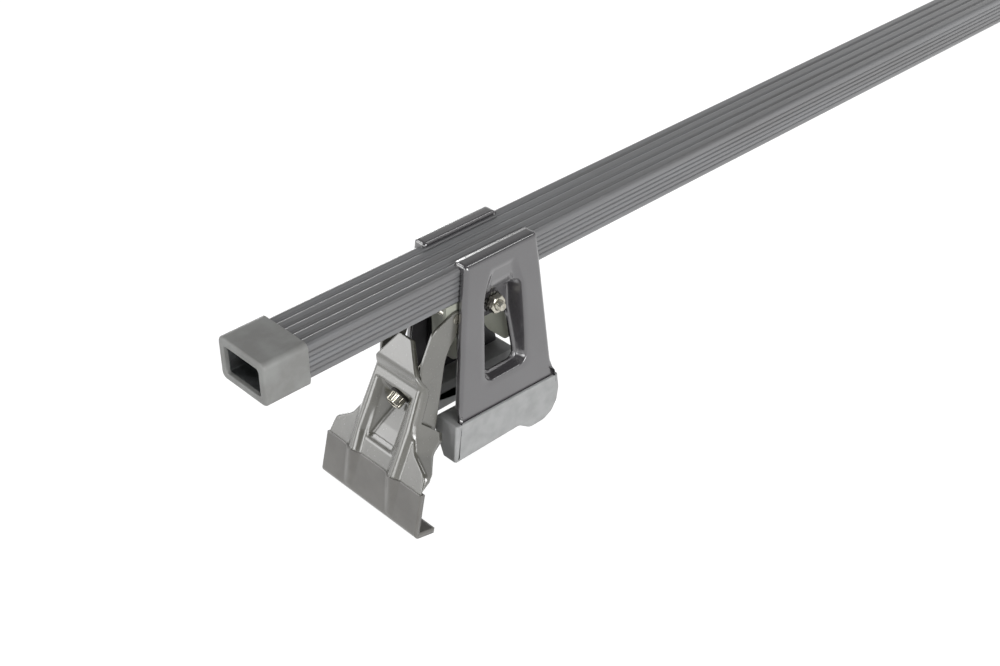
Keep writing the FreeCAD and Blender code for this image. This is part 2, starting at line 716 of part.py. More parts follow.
def build_saddle(name, side):
    """Folded saddle under the bar: two cross legs, and two cheeks that carry the clamp's pin."""
    under = "(bar_height + slide_gap)"
    web_low = f"({under} + saddle_sheet)"
    square_legs = prism(name + "_legs", "side", [
        ("-saddle_outboard_u", f"-{under}"),
        ("saddle_inboard_u", f"-{under}"),
        ("saddle_inboard_u", "-saddle_inboard_drop"),
        ("saddle_inboard_u - saddle_sheet", "-saddle_inboard_drop"),
        ("saddle_inboard_u - saddle_sheet", f"-{web_low}"),
        ("-saddle_outboard_u + saddle_sheet", f"-{web_low}"),
        ("-saddle_outboard_u + saddle_sheet", "-saddle_outboard_drop"),
        ("-saddle_outboard_u", "-saddle_outboard_drop"),
    ], "-saddle_half", "saddle_half")
    ends = value("-saddle_outboard_drop") + 0.01
    legs = rounded(name + "_legs_round", square_legs, "saddle_corner",
                   lambda e: runs_along(e, Vector(1, 0, 0)) and e.CenterOfMass.z < ends)
    cheek = [
        ("-cheek_end_u", f"-{under}"),
        ("-cheek_start_u", f"-{under}"),
        ("-cheek_start_u", f"-{web_low}"),
        ("-pivot_u + cheek_round", "-pivot_drop - pin_radius"),
        ("-pivot_u + pin_radius", "-pivot_drop - cheek_round"),
        ("-pivot_u - pin_radius", "-pivot_drop - cheek_round"),
        ("-cheek_end_u", "-pivot_drop - pin_radius"),
    ]
    cheeks = without(
        name + "_cheeks",
        prism(name + "_cheek_block", "side", cheek, "-cheek_half", "cheek_half"),
        prism(name + "_cheek_gap", "side", [
            ("-60", f"-{web_low}"), ("0", f"-{web_low}"), ("0", "-60"), ("-60", "-60"),
        ], "-cheek_half + saddle_sheet", "cheek_half - saddle_sheet"),
    )
    pin_hole = moved(cylinder(name + "_pin_hole", "pin_radius", "60"), "-pivot_u", "-30", "-pivot_drop",
                     Rotation(Vector(1, 0, 0), -90))
    half, narrow = "slot_half", "slot_half / 2"
    slot = prism(name + "_screw_slot", "front", [
        (f"-{half}", f"{SWIVEL_W} - slot_half"),
        (f"-{narrow}", f"{SWIVEL_W} - 2.4 * slot_half"),
        (narrow, f"{SWIVEL_W} - 2.4 * slot_half"),
        (half, f"{SWIVEL_W} - slot_half"),
        (half, f"{SWIVEL_W} + slot_half / 2"),
        (narrow, f"{SWIVEL_W} + 1.35 * slot_half"),
        (f"-{narrow}", f"{SWIVEL_W} + 1.35 * slot_half"),
        (f"-{half}", f"{SWIVEL_W} + slot_half / 2"),
    ], "-saddle_outboard_u - 1", "-saddle_outboard_u + saddle_sheet + 1")
    shape = without(name + "_shape", joined(name + "_whole", legs, cheeks), pin_hole, slot)
    place(node(name, shape), side=side)


def build_pin(name, side):
    """Plain pin across the cheeks that the clamp's ears turn on."""
    pin = cylinder(name + "_pin", "pin_radius", "2 * pin_half")
    place(node(name, pin), "-pivot_u", "-pin_half", "-pivot_drop", Rotation(Vector(1, 0, 0), -90), side)


def build_cross_bolt(prefix, side):
    """Hex bolt through both dished webs, with a toothed washer and nut on the side that is seen."""
    seat = "dish_floor_v"
    along = Rotation(Vector(1, 0, 0), -90)
    grip = f"(2 * {seat} + 2 * lock_washer_thick + nut_height + bolt_proud)"
    shank = cylinder(prefix + "_shank", "bolt_radius", grip)
    head = moved(hexagon(prefix + "_head", "hex_flats", "head_height"), z=grip)
    bolt = joined(prefix + "_bolt_whole", shank, head)
    stud_tip = f"-{seat} - lock_washer_thick - nut_height - bolt_proud"
    place(node(prefix + "_cross_bolt", bolt), "0", stud_tip, "-bolt_drop", along, side)
    nut = without(prefix + "_nut_shape", hexagon(prefix + "_nut_block", "hex_flats", "nut_height"),
                  cylinder(prefix + "_nut_bore", "bolt_radius", "nut_height"))
    place(node(prefix + "_cross_nut", nut), "0", f"-{seat} - lock_washer_thick - nut_height",
          "-bolt_drop", along, side)
    for which, level in (("front", f"-{seat} - lock_washer_thick"), ("back", seat)):
        name = f"{prefix}_{which}_washer"
        ring = without(name + "_ring", cylinder(name + "_disc", "lock_washer_radius", "lock_washer_thick"),
                       cylinder(name + "_bore", "bolt_radius", "lock_washer_thick"))
        place(node(name, ring), "0", level, "-bolt_drop", along, side)


# The clamp, built in its own frame: X is n, Y is v and Z is s


def clamp_place(name, thing, side):
    """Stands a piece that is built in the clamp's frame in its place on the foot."""
    place(node(name, thing), "-clamp_seam_u", "0", "-clamp_seam_drop",
          Rotation(Vector(0, 1, 0), SIZES["clamp_lean"]), side)


def skirt_profile(grow):
    """Returns the corners of the skirt and hook in side view, grown on all sides but the top."""
    n0, s0 = HOOK_CORNER_N, HOOK_CORNER_S
    thick = "clamp_sheet"
    return [
        (f"base_depth - ({grow})", "0"),
        (f"{n0} - ({grow}) * ({KICK_COS} - {KICK_SIN})", f"{s0} - ({grow}) * ({KICK_SIN} + {KICK_COS})"),
        (f"{HOOK_TIP_N} + ({grow}) * ({KICK_COS} + {KICK_SIN})",
         f"{HOOK_TIP_S} + ({grow}) * ({KICK_SIN} - {KICK_COS})"),
        (f"{HOOK_TIP_N} - {thick} * {KICK_SIN} + ({grow}) * ({KICK_COS} - {KICK_SIN})",
         f"{HOOK_TIP_S} + {thick} * {KICK_COS} + ({grow}) * ({KICK_SIN} + {KICK_COS})"),
        (f"{n0} + {thick} * ({KICK_COS} - {KICK_SIN}) + ({grow}) * ({KICK_COS} - {KICK_SIN})",
         f"{s0} + {thick} * ({KICK_SIN} + {KICK_COS}) + ({grow}) * ({KICK_SIN} + {KICK_COS})"),
        (f"base_depth + {thick} + ({grow})", "0"),
    ]


def rib_fronts(name, grow):
    """Returns both ribs of the frame, raised on the plate from the ridge down to the hook."""
    ribs = []
    bottom = f"(0.86 * {HOOK_CORNER_S})"
    bottom_n = f"(0.86 * ({HOOK_CORNER_N} - base_depth) + base_depth)"
    side_view = prism(name + "_rib_side", "side", [
        (f"0 - ({grow})", "ridge_s"),
        (f"0 - ({grow})", "0"),
        (f"{bottom_n} - ({grow})", bottom),
        (f"{bottom_n} + clamp_sheet / 2", bottom),
        ("base_depth + clamp_sheet / 2", "0"),
        ("base_depth + clamp_sheet / 2", "scallop_s + 6"),
        ("clamp_sheet", "scallop_s + 9"),
        ("clamp_sheet", "ridge_s"),
    ], "-60", "60")
    for mark, sign in (("left", "-"), ("right", "")):
        ribs.append(prism(f"{name}_rib_{mark}", "front", [
            (f"{sign}(ridge_half)", "ridge_s"),
            (f"{sign}(ridge_half - rib_wide)", "ridge_s"),
            (f"{sign}(rib_seam_half - rib_wide - 1 - ({grow}))", "0"),
            (f"{sign}(rib_seam_half - rib_wide - ({grow}))", bottom),
            (f"{sign}(rib_seam_half + 1 + ({grow}))", bottom),
            (f"{sign}(rib_seam_half + ({grow}))", "0"),
        ], "-5", "20"))
    return shared(name + "_ribs", side_view, joined(name + "_rib_pair", *ribs))


def plate_outline(grow):
    """Returns the front outline of the wide plate: skirt, rounded shoulders and scallops."""
    half = [
        (f"hook_half + ({grow})", f"{HOOK_CORNER_S} - 5"),
        (f"shoulder_half + ({grow})", "0"),
        (f"shoulder_half + ({grow})", f"shoulder_s - 2 + ({grow})"),
        (f"shoulder_half - 2 + ({grow})", f"shoulder_s + 2 + ({grow})"),
        (f"(shoulder_half + scallop_half) / 2 + 1 + ({grow})", f"(shoulder_s + scallop_s) / 2 - 2 + ({grow})"),
        (f"scallop_half + ({grow})", f"scallop_s - 3 + ({grow})"),
        (f"scallop_half - 4 + ({grow})", f"scallop_s + 3 + ({grow})"),
        (f"ridge_half + 1.5 + ({grow})", f"scallop_s + 7 + ({grow})"),
        (f"ridge_half + ({grow})", f"scallop_s + 12 + ({grow})"),
    ]
    other = [(f"-({v})", s) for v, s in reversed(half)]
    return half + other


def build_clamp(prefix, side):
    """Pressed clamp plate: hooked skirt, scalloped shoulders, framed pocket, neck and two ears."""
    name = prefix + "_clamp"
    wide = shared(
        name + "_wide",
        joined(name + "_wide_side",
               prism(name + "_skirt", "side", skirt_profile("0"), "-60", "60"),
               prism(name + "_upper", "side", [
                   ("base_depth", "0"), ("base_depth + clamp_sheet", "0"),
                   ("base_depth + clamp_sheet", "scallop_s + 12"), ("base_depth", "scallop_s + 12"),
               ], "-60", "60")),
        prism(name + "_outline", "front", plate_outline("0"), "-5", "60"),
    )
    flange = shared(
        name + "_flange",
        without(name + "_flange_ring",
                prism(name + "_flange_outer", "front", plate_outline("0"), "-5", "60"),
                prism(name + "_flange_inner", "front", plate_outline("-clamp_sheet"), "-6", "61")),
        prism(name + "_flange_side", "side", [
            ("base_depth", "shoulder_s - 6"),
            ("base_depth + clamp_sheet", "shoulder_s - 6"),
            ("base_depth + shoulder_flange / 2", "shoulder_s + 1"),
            ("base_depth + shoulder_flange", "shoulder_s + 5"),
            ("base_depth + shoulder_flange + 6.5", "scallop_s"),
            ("base_depth + shoulder_flange + 10", "scallop_s + 12"),
            ("base_depth", "scallop_s + 12"),
        ], "-60", "60"),
    )
    boss = "ear_boss"
    ear = [
        ("0", "ridge_s"),
        ("0", "scallop_s + 9"),
        ("base_depth", "scallop_s + 5"),
        ("ear_deep", "scallop_s + 2"),
        ("ear_deep - 3.9", "scallop_s + 18"),
        ("ear_waist_n", "ear_waist_s"),
        (f"{PIVOT_N} + 0.8 * {boss}", f"{PIVOT_S} - 0.7 * {boss}"),
        (f"{PIVOT_N} + {boss}", f"{PIVOT_S} - 0.1 * {boss}"),
        (f"{PIVOT_N} + 0.8 * {boss}", f"{PIVOT_S} + 0.6 * {boss}"),
        (f"{PIVOT_N} + 0.2 * {boss}", f"{PIVOT_S} + 0.85 * {boss}"),
        (f"{PIVOT_N} - 0.6 * {boss}", f"{PIVOT_S} + 0.5 * {boss}"),
        ("-ear_proud + 0.6", "ridge_s + 34"),
        ("-ear_proud", "ridge_s + 13"),
    ]
    inside = "(ridge_half - clamp_sheet)"
    ears = without(
        name + "_ears",
        prism(name + "_ear_block", "side", ear, "-ridge_half", "ridge_half"),
        prism(name + "_ear_gap", "side", [("-50", "-10"), ("60", "-10"), ("60", "130"), ("-50", "130")],
              f"-{inside}", inside),
    )
    ridge = prism(name + "_ridge", "side", [
        ("0", SEAT_EDGE_S), ("clamp_sheet", SEAT_EDGE_S), ("clamp_sheet", "ridge_s"), ("0", "ridge_s"),
    ], "-ridge_half", "ridge_half")
    neck = shared(
        name + "_neck",
        prism(name + "_neck_side", "side", [
            ("0", "ridge_s"),
            ("-neck_out", "ridge_s + neck_rise"),
            ("-neck_out + clamp_sheet", "ridge_s + neck_rise + 1"),
            ("clamp_sheet", "ridge_s + 1"),
            ("clamp_sheet", "ridge_s"),
        ], "-60", "60"),
        prism(name + "_neck_front", "front", [
            ("-ridge_half", "ridge_s"), ("ridge_half", "ridge_s"),
            ("neck_top_half", "ridge_s + neck_rise + 2"), ("-neck_top_half", "ridge_s + neck_rise + 2"),
        ], "-40", "20"),
    )
    pocket, backing = pocket_solids(name)
    clear_of_front = prism(name + "_pocket_limit", "side", [
        ("0", "ridge_s"), ("0", "scallop_s + 9"), ("base_depth", "scallop_s + 5"), ("base_depth", "2"),
        ("40", "2"), ("40", "ridge_s"),
    ], "-ridge_half", "ridge_half")
    whole = joined(
        name + "_whole", wide, flange, ears, ridge, neck, rib_fronts(name, "0"),
        shared(name + "_pocket_walls", backing, clear_of_front),
    )
    turn = Rotation(Vector(0, 1, 0), 90 - SIZES["screw_rise"] - SIZES["clamp_lean"])
    screw_hole = moved(cylinder(name + "_screw_hole", "screw_radius + screw_play", "16"),
                       "seat_n - 6 * " + LOCAL_AXIS_N, "0", "seat_s - 6 * " + LOCAL_AXIS_S, turn)
    pin_hole = moved(cylinder(name + "_pin_hole", "pin_radius + pin_play", "60"),
                     PIVOT_N, "-30", PIVOT_S, Rotation(Vector(1, 0, 0), -90))
    clamp_place(name + "_plate", without(name + "_shape", whole, pocket, screw_hole, pin_hole), side)
    build_coat(name, side, whole)


def pocket_solids(name):
    """Returns the pocket that the screw head stands in and the pressed-out solid behind it."""
    deep_s = f"(seat_s - (pocket_depth - seat_n) * {LOCAL_AXIS_N} / {LOCAL_AXIS_S})"
    def hollow(label, grow):
        walls = prism(label + "_walls", "top", [
            ("-1", f"-pocket_half - {grow}"),
            ("0", f"-pocket_half - {grow}"),
            (f"pocket_depth + {grow}", f"-pocket_floor_half - {grow}"),
            (f"pocket_depth + {grow}", f"pocket_floor_half + {grow}"),
            ("0", f"pocket_half + {grow}"),
            ("-1", f"pocket_half + {grow}"),
        ], "-20", "90")
        depth = prism(label + "_depth", "side", [
            ("-1", f"{SEAT_EDGE_S} + {LOCAL_AXIS_N} / {LOCAL_AXIS_S} + {grow} / {LOCAL_AXIS_S}"),
            ("-1", f"pocket_low_s - 1.5 - {grow}"),
            (f"base_depth - 1.2 + {grow}", f"pocket_low_s + 4.5 - {grow} / 2"),
            (f"pocket_depth + {grow}", f"{deep_s} - 1.2 - {grow} / 2"),
            (f"pocket_depth + {grow}", f"{deep_s} + {grow} / 2"),
        ], "-60", "60")
        return shared(label, walls, depth)

    return hollow(name + "_pocket", "0"), hollow(name + "_pocket_back", "clamp_sheet")


def build_coat(name, side, plate):
    """Plastic coat dipped over the skirt and hook, up to the seam."""
    skirt = shared(
        name + "_coat_skirt",
        prism(name + "_coat_side", "side", skirt_profile("coat"), "-60", "60"),
        prism(name + "_coat_outline", "front", plate_outline("coat"), "-5", "60"),
    )
    below_seam = prism(name + "_below_seam", "side", [
        ("-20", "0"), ("60", "0"), ("60", "-60"), ("-20", "-60"),
    ], "-60", "60")
    ribs = shared(name + "_coat_ribs", rib_fronts(name + "_coat", "coat"), below_seam)
    whole = joined(name + "_coat_whole", skirt, ribs)
    clamp_place(name + "_coat", without(name + "_coat_shape", whole, plate), side)


def build_screw(prefix, side):
    """Socket screw that draws the clamp in, with its seat washer and the swivel nut."""
    along = Rotation(Vector(0, 1, 0), 90 - SIZES["screw_rise"])
    body = new_body(prefix + "_screw_body")
    profile = sketch_on(body, prefix + "_screw_profile", "XZ_Plane")
    under = "(-seat_washer_thick)"
    draw_outline(profile, [
        ("0", f"{under} - screw_head_height"),
        ("screw_head_radius - 0.7", f"{under} - screw_head_height"),
        ("screw_head_radius", f"{under} - screw_head_height + 0.7"),
        ("screw_head_radius", under),
        ("screw_radius", under),
        ("screw_radius", f"screw_length + {under} - 1"),
        ("screw_radius - 1", f"screw_length + {under}"),
        ("0", f"screw_length + {under}"),
    ])
    turned = body.newObject("PartDesign::Revolution", prefix + "_screw_turned")
    turned.Profile = profile
    turned.ReferenceAxis = (profile, ["V_Axis"])
    turned.Angle = 360
    socket = sketch_on(body, prefix + "_screw_socket", "XY_Plane", f"{under} - screw_head_height")
    corner = "(socket_flats / sqrt(3))"
    draw_outline(socket, [
        (corner, "0"), (f"{corner} / 2", "socket_flats / 2"), (f"-{corner} / 2", "socket_flats / 2"),
        (f"-{corner}", "0"), (f"-{corner} / 2", "-socket_flats / 2"), (f"{corner} / 2", "-socket_flats / 2"),
    ])
    cut = feature(body, "Pocket", prefix + "_screw_socket_cut", socket, Length="socket_depth")
    cut.Reversed = True
    place(node(prefix + "_clamp_screw", body), SEAT_U, "0", SEAT_W, along, side)
    name = prefix + "_seat_washer"
    ring = without(name + "_ring", cylinder(name + "_disc", "seat_washer_radius", "seat_washer_thick"),
                   cylinder(name + "_bore", "screw_radius + screw_play", "seat_washer_thick"))
    place(node(name, ring), f"{SEAT_U} - seat_washer_thick * {AXIS_COS}", "0",
          f"{SEAT_W} - seat_washer_thick * {AXIS_SIN}", along, side)
    name = prefix + "_swivel_nut"
    barrel = moved(cylinder(name + "_barrel", "barrel_radius", "2 * barrel_half"), "0", "-barrel_half", "0",
                   Rotation(Vector(1, 0, 0), -90))
    bore = moved(cylinder(name + "_bore", "screw_radius + screw_play", "40"),
                 f"-20 * {AXIS_COS}", "0", f"-20 * {AXIS_SIN}", along)
    place(node(name, without(name + "_shape", barrel, bore)), SWIVEL_U, "0", SWIVEL_W, side=side)


build_tube()
build_sleeve()
for end, which in (("near", 1), ("far", -1)):
    build_cap(f"{end}_end_cap", which)
    build_shell(f"{end}_front_shell", which, 1)
    build_shell(f"{end}_back_shell", which, -1)
    build_pad(f"{end}_front_pad", which, 1)
    build_pad(f"{end}_back_pad", which, -1)
    build_saddle(f"{end}_saddle", which)
    build_pin(f"{end}_pivot_pin", which)
    build_cross_bolt(end, which)
    build_clamp(end, which)
    build_screw(end, which)

document.recompute()
failed = [thing.Name for thing in document.Objects if {"Invalid", "Error"} & set(thing.State)]
if failed:
    raise RuntimeError(f"failed objects: {failed}")
for name, thing in finished.items():
    if thing.Shape.isNull() or not thing.Shape.isValid():
        raise RuntimeError(f"{name} has no valid shape")

os.makedirs("parts", exist_ok=True)
for name, thing in finished.items():
    thing.Shape.exportStep(f"parts/{name}.step")
    box = thing.Shape.BoundBox
    print(f"{name}: {thing.Shape.Volume:.0f} mm3, {len(thing.Shape.Solids)} solid, "
          f"x {box.XMin:.1f} {box.XMax:.1f}, y {box.YMin:.1f} {box.YMax:.1f}, z {box.ZMin:.1f} {box.ZMax:.1f}")
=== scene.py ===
"""Roof rack crossbar: pressed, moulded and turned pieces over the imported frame, with camera and light."""

import logging
import math
from dataclasses import dataclass
from enum import Enum

import bmesh
import bpy
import numpy as np
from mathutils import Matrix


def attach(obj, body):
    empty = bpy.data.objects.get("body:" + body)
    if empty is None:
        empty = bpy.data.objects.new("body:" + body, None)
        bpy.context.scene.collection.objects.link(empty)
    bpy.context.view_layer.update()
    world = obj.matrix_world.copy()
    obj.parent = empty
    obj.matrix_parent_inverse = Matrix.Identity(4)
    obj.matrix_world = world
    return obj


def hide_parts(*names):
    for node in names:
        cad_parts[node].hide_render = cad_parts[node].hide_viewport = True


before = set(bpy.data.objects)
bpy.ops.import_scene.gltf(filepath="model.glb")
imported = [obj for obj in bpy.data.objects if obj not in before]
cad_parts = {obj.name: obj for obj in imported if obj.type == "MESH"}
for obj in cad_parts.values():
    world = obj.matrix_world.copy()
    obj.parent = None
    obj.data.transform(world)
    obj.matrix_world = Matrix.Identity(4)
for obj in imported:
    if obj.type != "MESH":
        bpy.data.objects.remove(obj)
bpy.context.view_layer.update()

log = logging.getLogger("crossbar")

Array = np.ndarray
MM = 0.001
# Height of the bar's top face over the hook tips, and half the distance between the feet
STAND = 146.6403
HALF_SPAN = 428.8
BAR_LENGTH = 1180.0


class End(Enum):
    """Which foot a piece belongs to; the far one is the near one turned half round."""

    NEAR = 1
    FAR = -1

    @property
    def word(self) -> str:
        """The prefix of this foot's nodes and bodies."""
        return self.name.lower()


class Face(Enum):
    """Which of a foot's two faces a shell or pad is on."""

    FRONT = 1
    BACK = -1

    @property
    def word(self) -> str:
        """The word for this face in the nodes' names."""
        return self.name.lower()


# Shapes as arrays of points


def smooth_min(a: Array, b: Array, reach: float) -> Array:
    """Returns the lower of two surfaces with their crossing rounded.

    Formula: min(a, b) less a quarter of reach times the square of how near the two are.

    Args:
        a: first surface's heights.
        b: second surface's heights.
        reach: how far apart the two may be and still be blended.

    Returns:
        The blended heights.
    """
    near = np.maximum(reach - np.abs(a - b), 0) / reach
    return np.minimum(a, b) - near * near * reach / 4


def smooth_max(a: Array, b: Array, reach: float) -> Array:
    """The higher of two surfaces with their crossing rounded, as smooth_min upside down."""
    return -smooth_min(-np.asarray(a), -np.asarray(b), reach)


def ease(low: float, high: float, x: Array) -> Array:
    """Cubic step from 0 at low to 1 at high: t squared times (3 - 2t)."""
    t = np.clip((x - low) / (high - low), 0, 1)
    return t * t * (3 - 2 * t)


def rounded_outline(corners: Array, radii: Array, steps: int = 14) -> Array:
    """Returns a closed outline whose corners are arcs.

    Formula: each arc's centre lies on the corner's bisector at radius / sin(half angle), and
    the arc swings from one tangent point to the other by equal angles.

    Args:
        corners: corner points, one row each.
        radii: each corner's radius.
        steps: points on every arc.

    Returns:
        Array of corners by steps by 2.
    """
    corners = np.asarray(corners, float)
    radii = np.maximum(np.asarray(radii, float), 1e-4)[:, None]
    back = np.roll(corners, 1, axis=0) - corners
    on = np.roll(corners, -1, axis=0) - corners
    back /= np.linalg.norm(back, axis=1, keepdims=True)
    on /= np.linalg.norm(on, axis=1, keepdims=True)
    half = np.arccos(np.clip((back * on).sum(1), -0.999999, 1))[:, None] / 2
    bisector = back + on
    bisector /= np.maximum(np.linalg.norm(bisector, axis=1, keepdims=True), 1e-9)
    centre = corners + bisector * radii / np.sin(half)
    first = (corners + back * radii / np.tan(half) - centre)[:, None]
    last = (corners + on * radii / np.tan(half) - centre)[:, None]
    swing = (math.pi - 2 * half)[:, None]
    share = np.linspace(0, 1, steps)[None, :, None]
    spread = np.maximum(np.sin(swing), 1e-9)
    return centre[:, None] + (np.sin((1 - share) * swing) * first + np.sin(share * swing) * last) / spread


def even_loop(corners: Array, radii: Array, counts: list[int]) -> Array:
    """Returns a rounded outline cut into a set number of equal runs between its corners.

    Every loop made with the same counts matches the others point by point, corner to corner.

    Args:
        corners: corner points in order.
        radii: each corner's radius.
        counts: points from each corner's middle to the next one's.

    Returns:
        Array of points, sum(counts) by 2.
    """
    arcs = rounded_outline(corners, radii)
    total, steps = arcs.shape[:2]
    middle = steps // 2
    dense = np.roll(arcs.reshape(-1, 2), -middle, axis=0)
    dense = np.vstack([dense, dense[:1]])
    along = np.concatenate([[0], np.cumsum(np.linalg.norm(np.diff(dense, axis=0), axis=1))])
    marks = along[np.append(np.arange(total) * steps, total * steps)]
    places = np.concatenate([
        np.linspace(marks[k], marks[k + 1], count, endpoint=False) for k, count in enumerate(counts)
    ])
    return np.stack([np.interp(places, along, dense[:, 0]), np.interp(places, along, dense[:, 1])], axis=1)


def inset(loop: Array, amount: Array | float) -> Array:
    """Moves a closed outline inwards along its normals by an amount in mm; the loop runs clockwise or not.

    Args:
        loop: closed outline, points by 2.
        amount: distance, one number or one per point.

    Returns:
        The moved outline.
    """
    tangent = np.roll(loop, -1, axis=0) - np.roll(loop, 1, axis=0)
    tangent /= np.maximum(np.linalg.norm(tangent, axis=1, keepdims=True), 1e-9)
    area = (loop[:, 0] * np.roll(loop[:, 1], -1) - np.roll(loop[:, 0], -1) * loop[:, 1]).sum()
    normal = np.stack([-tangent[:, 1], tangent[:, 0]], axis=1) * math.copysign(1, area)
    return loop + normal * np.reshape(amount, (-1, 1))


def grid_faces(rows: int, columns: int, ring_rows: bool = False, ring_columns: bool = False) -> Array:
    """Returns the four corners of every cell of a grid of points.

    Args:
        rows: number of rows.
        columns: number of columns.
        ring_rows: whether the last row joins the first.
        ring_columns: whether the last column joins the first.

    Returns:
        Array of cells by 4.
    """
    row = np.arange(rows if ring_rows else rows - 1)[:, None]
    column = np.arange(columns if ring_columns else columns - 1)[None, :]
    below, right = (row + 1) % rows, (column + 1) % columns
    cells = [row * columns + column, row * columns + right, below * columns + right, below * columns + column]
    return np.stack(np.broadcast_arrays(*cells), axis=-1).reshape(-1, 4)


@dataclass(frozen=True)
class FootFrame:
    """A foot's own frame: u inboard along the bar, v across it, w up from its top face, in mm."""

    end: End

    def world(self, u: Array, v: Array, w: Array) -> Array:
        """Points of the foot's frame in metres of the shared frame.

        Args:
            u: inboard.
            v: across.
            w: up.

        Returns:
            Points, last axis x, y and z.
        """
        turn = self.end.value
        u, v, w = np.broadcast_arrays(u, v, w)
        return np.stack([turn * (u - HALF_SPAN), turn * v, w + STAND], axis=-1) * MM


@dataclass(frozen=True)
class ClampFrame:
    """The clamp's own frame: n inboard through the plate, v across, s up the plate, in mm."""

    end: End
    lean: float = 25.0
    seam_u: float = -84.2
    seam_w: float = -114.0

    def world(self, n: Array, v: Array, s: Array) -> Array:
        """Points of the clamp's frame in metres: the plate leans by its angle over the seam's point.

        Args:
            n: inboard through the plate.
            v: across.
            s: up the plate.

        Returns:
            Points, last axis x, y and z.
        """
        sine, cosine = math.sin(math.radians(self.lean)), math.cos(math.radians(self.lean))
        u = self.seam_u + n * cosine + s * sine
        w = self.seam_w - n * sine + s * cosine
        return FootFrame(self.end).world(u, v, w)


@dataclass(frozen=True)
class Axis:
    """A turned piece's own axis in metres of the shared frame."""

    start: tuple[float, float, float]
    along: tuple[float, float, float]

    def points(self, radius: Array, height: Array, angle: Array) -> Array:
        """Points at a radius and height in mm: start + height along + radius round the axis.

        Args:
            radius: distance off the axis.
            height: distance along the axis.
            angle: angle round the axis.

        Returns:
            Points in metres.
        """
        along = np.array(self.along) / np.linalg.norm(self.along)
        side = np.cross(along, [0.0, 0.0, 1.0] if abs(along[2]) < 0.9 else [0.0, 1.0, 0.0])
        side /= np.linalg.norm(side)
        other = np.cross(along, side)
        radius, height, angle = (a[..., None] for a in np.broadcast_arrays(radius, height, angle))
        turned = radius * (np.cos(angle) * side + np.sin(angle) * other)
        return np.array(self.start) + (height * along + turned) * MM


# Finishes


def linear(code: str) -> tuple[float, float, float, float]:
    """A colour written as sRGB hex, as the linear numbers that shaders take.

    Args:
        code: the colour, such as #a9aaaa.

    Returns:
        Red, green, blue and an alpha of 1.
    """
    share = np.array([int(code[i:i + 2], 16) for i in (1, 3, 5)]) / 255
    value = np.where(share <= 0.04045, share / 12.92, ((share + 0.055) / 1.055) ** 2.4)
    return (*value.tolist(), 1.0)


def add(tree: bpy.types.NodeTree, kind: str, links: dict | None = None, **settings: object) -> bpy.types.Node:
    """Adds one node with its settings and links.

    Args:
        tree: node tree that takes the node.
        kind: the node's type name.
        links: for each input's name or number, a value or the output that feeds it.
        settings: the node's own properties.

    Returns:
        The new node.
    """
    item = tree.nodes.new(kind)
    for name, value in settings.items():
        setattr(item, name, value)
    for socket, value in (links or {}).items():
        if isinstance(value, bpy.types.NodeSocket):
            tree.links.new(value, item.inputs[socket])
        else:
            item.inputs[socket].default_value = value
    return item


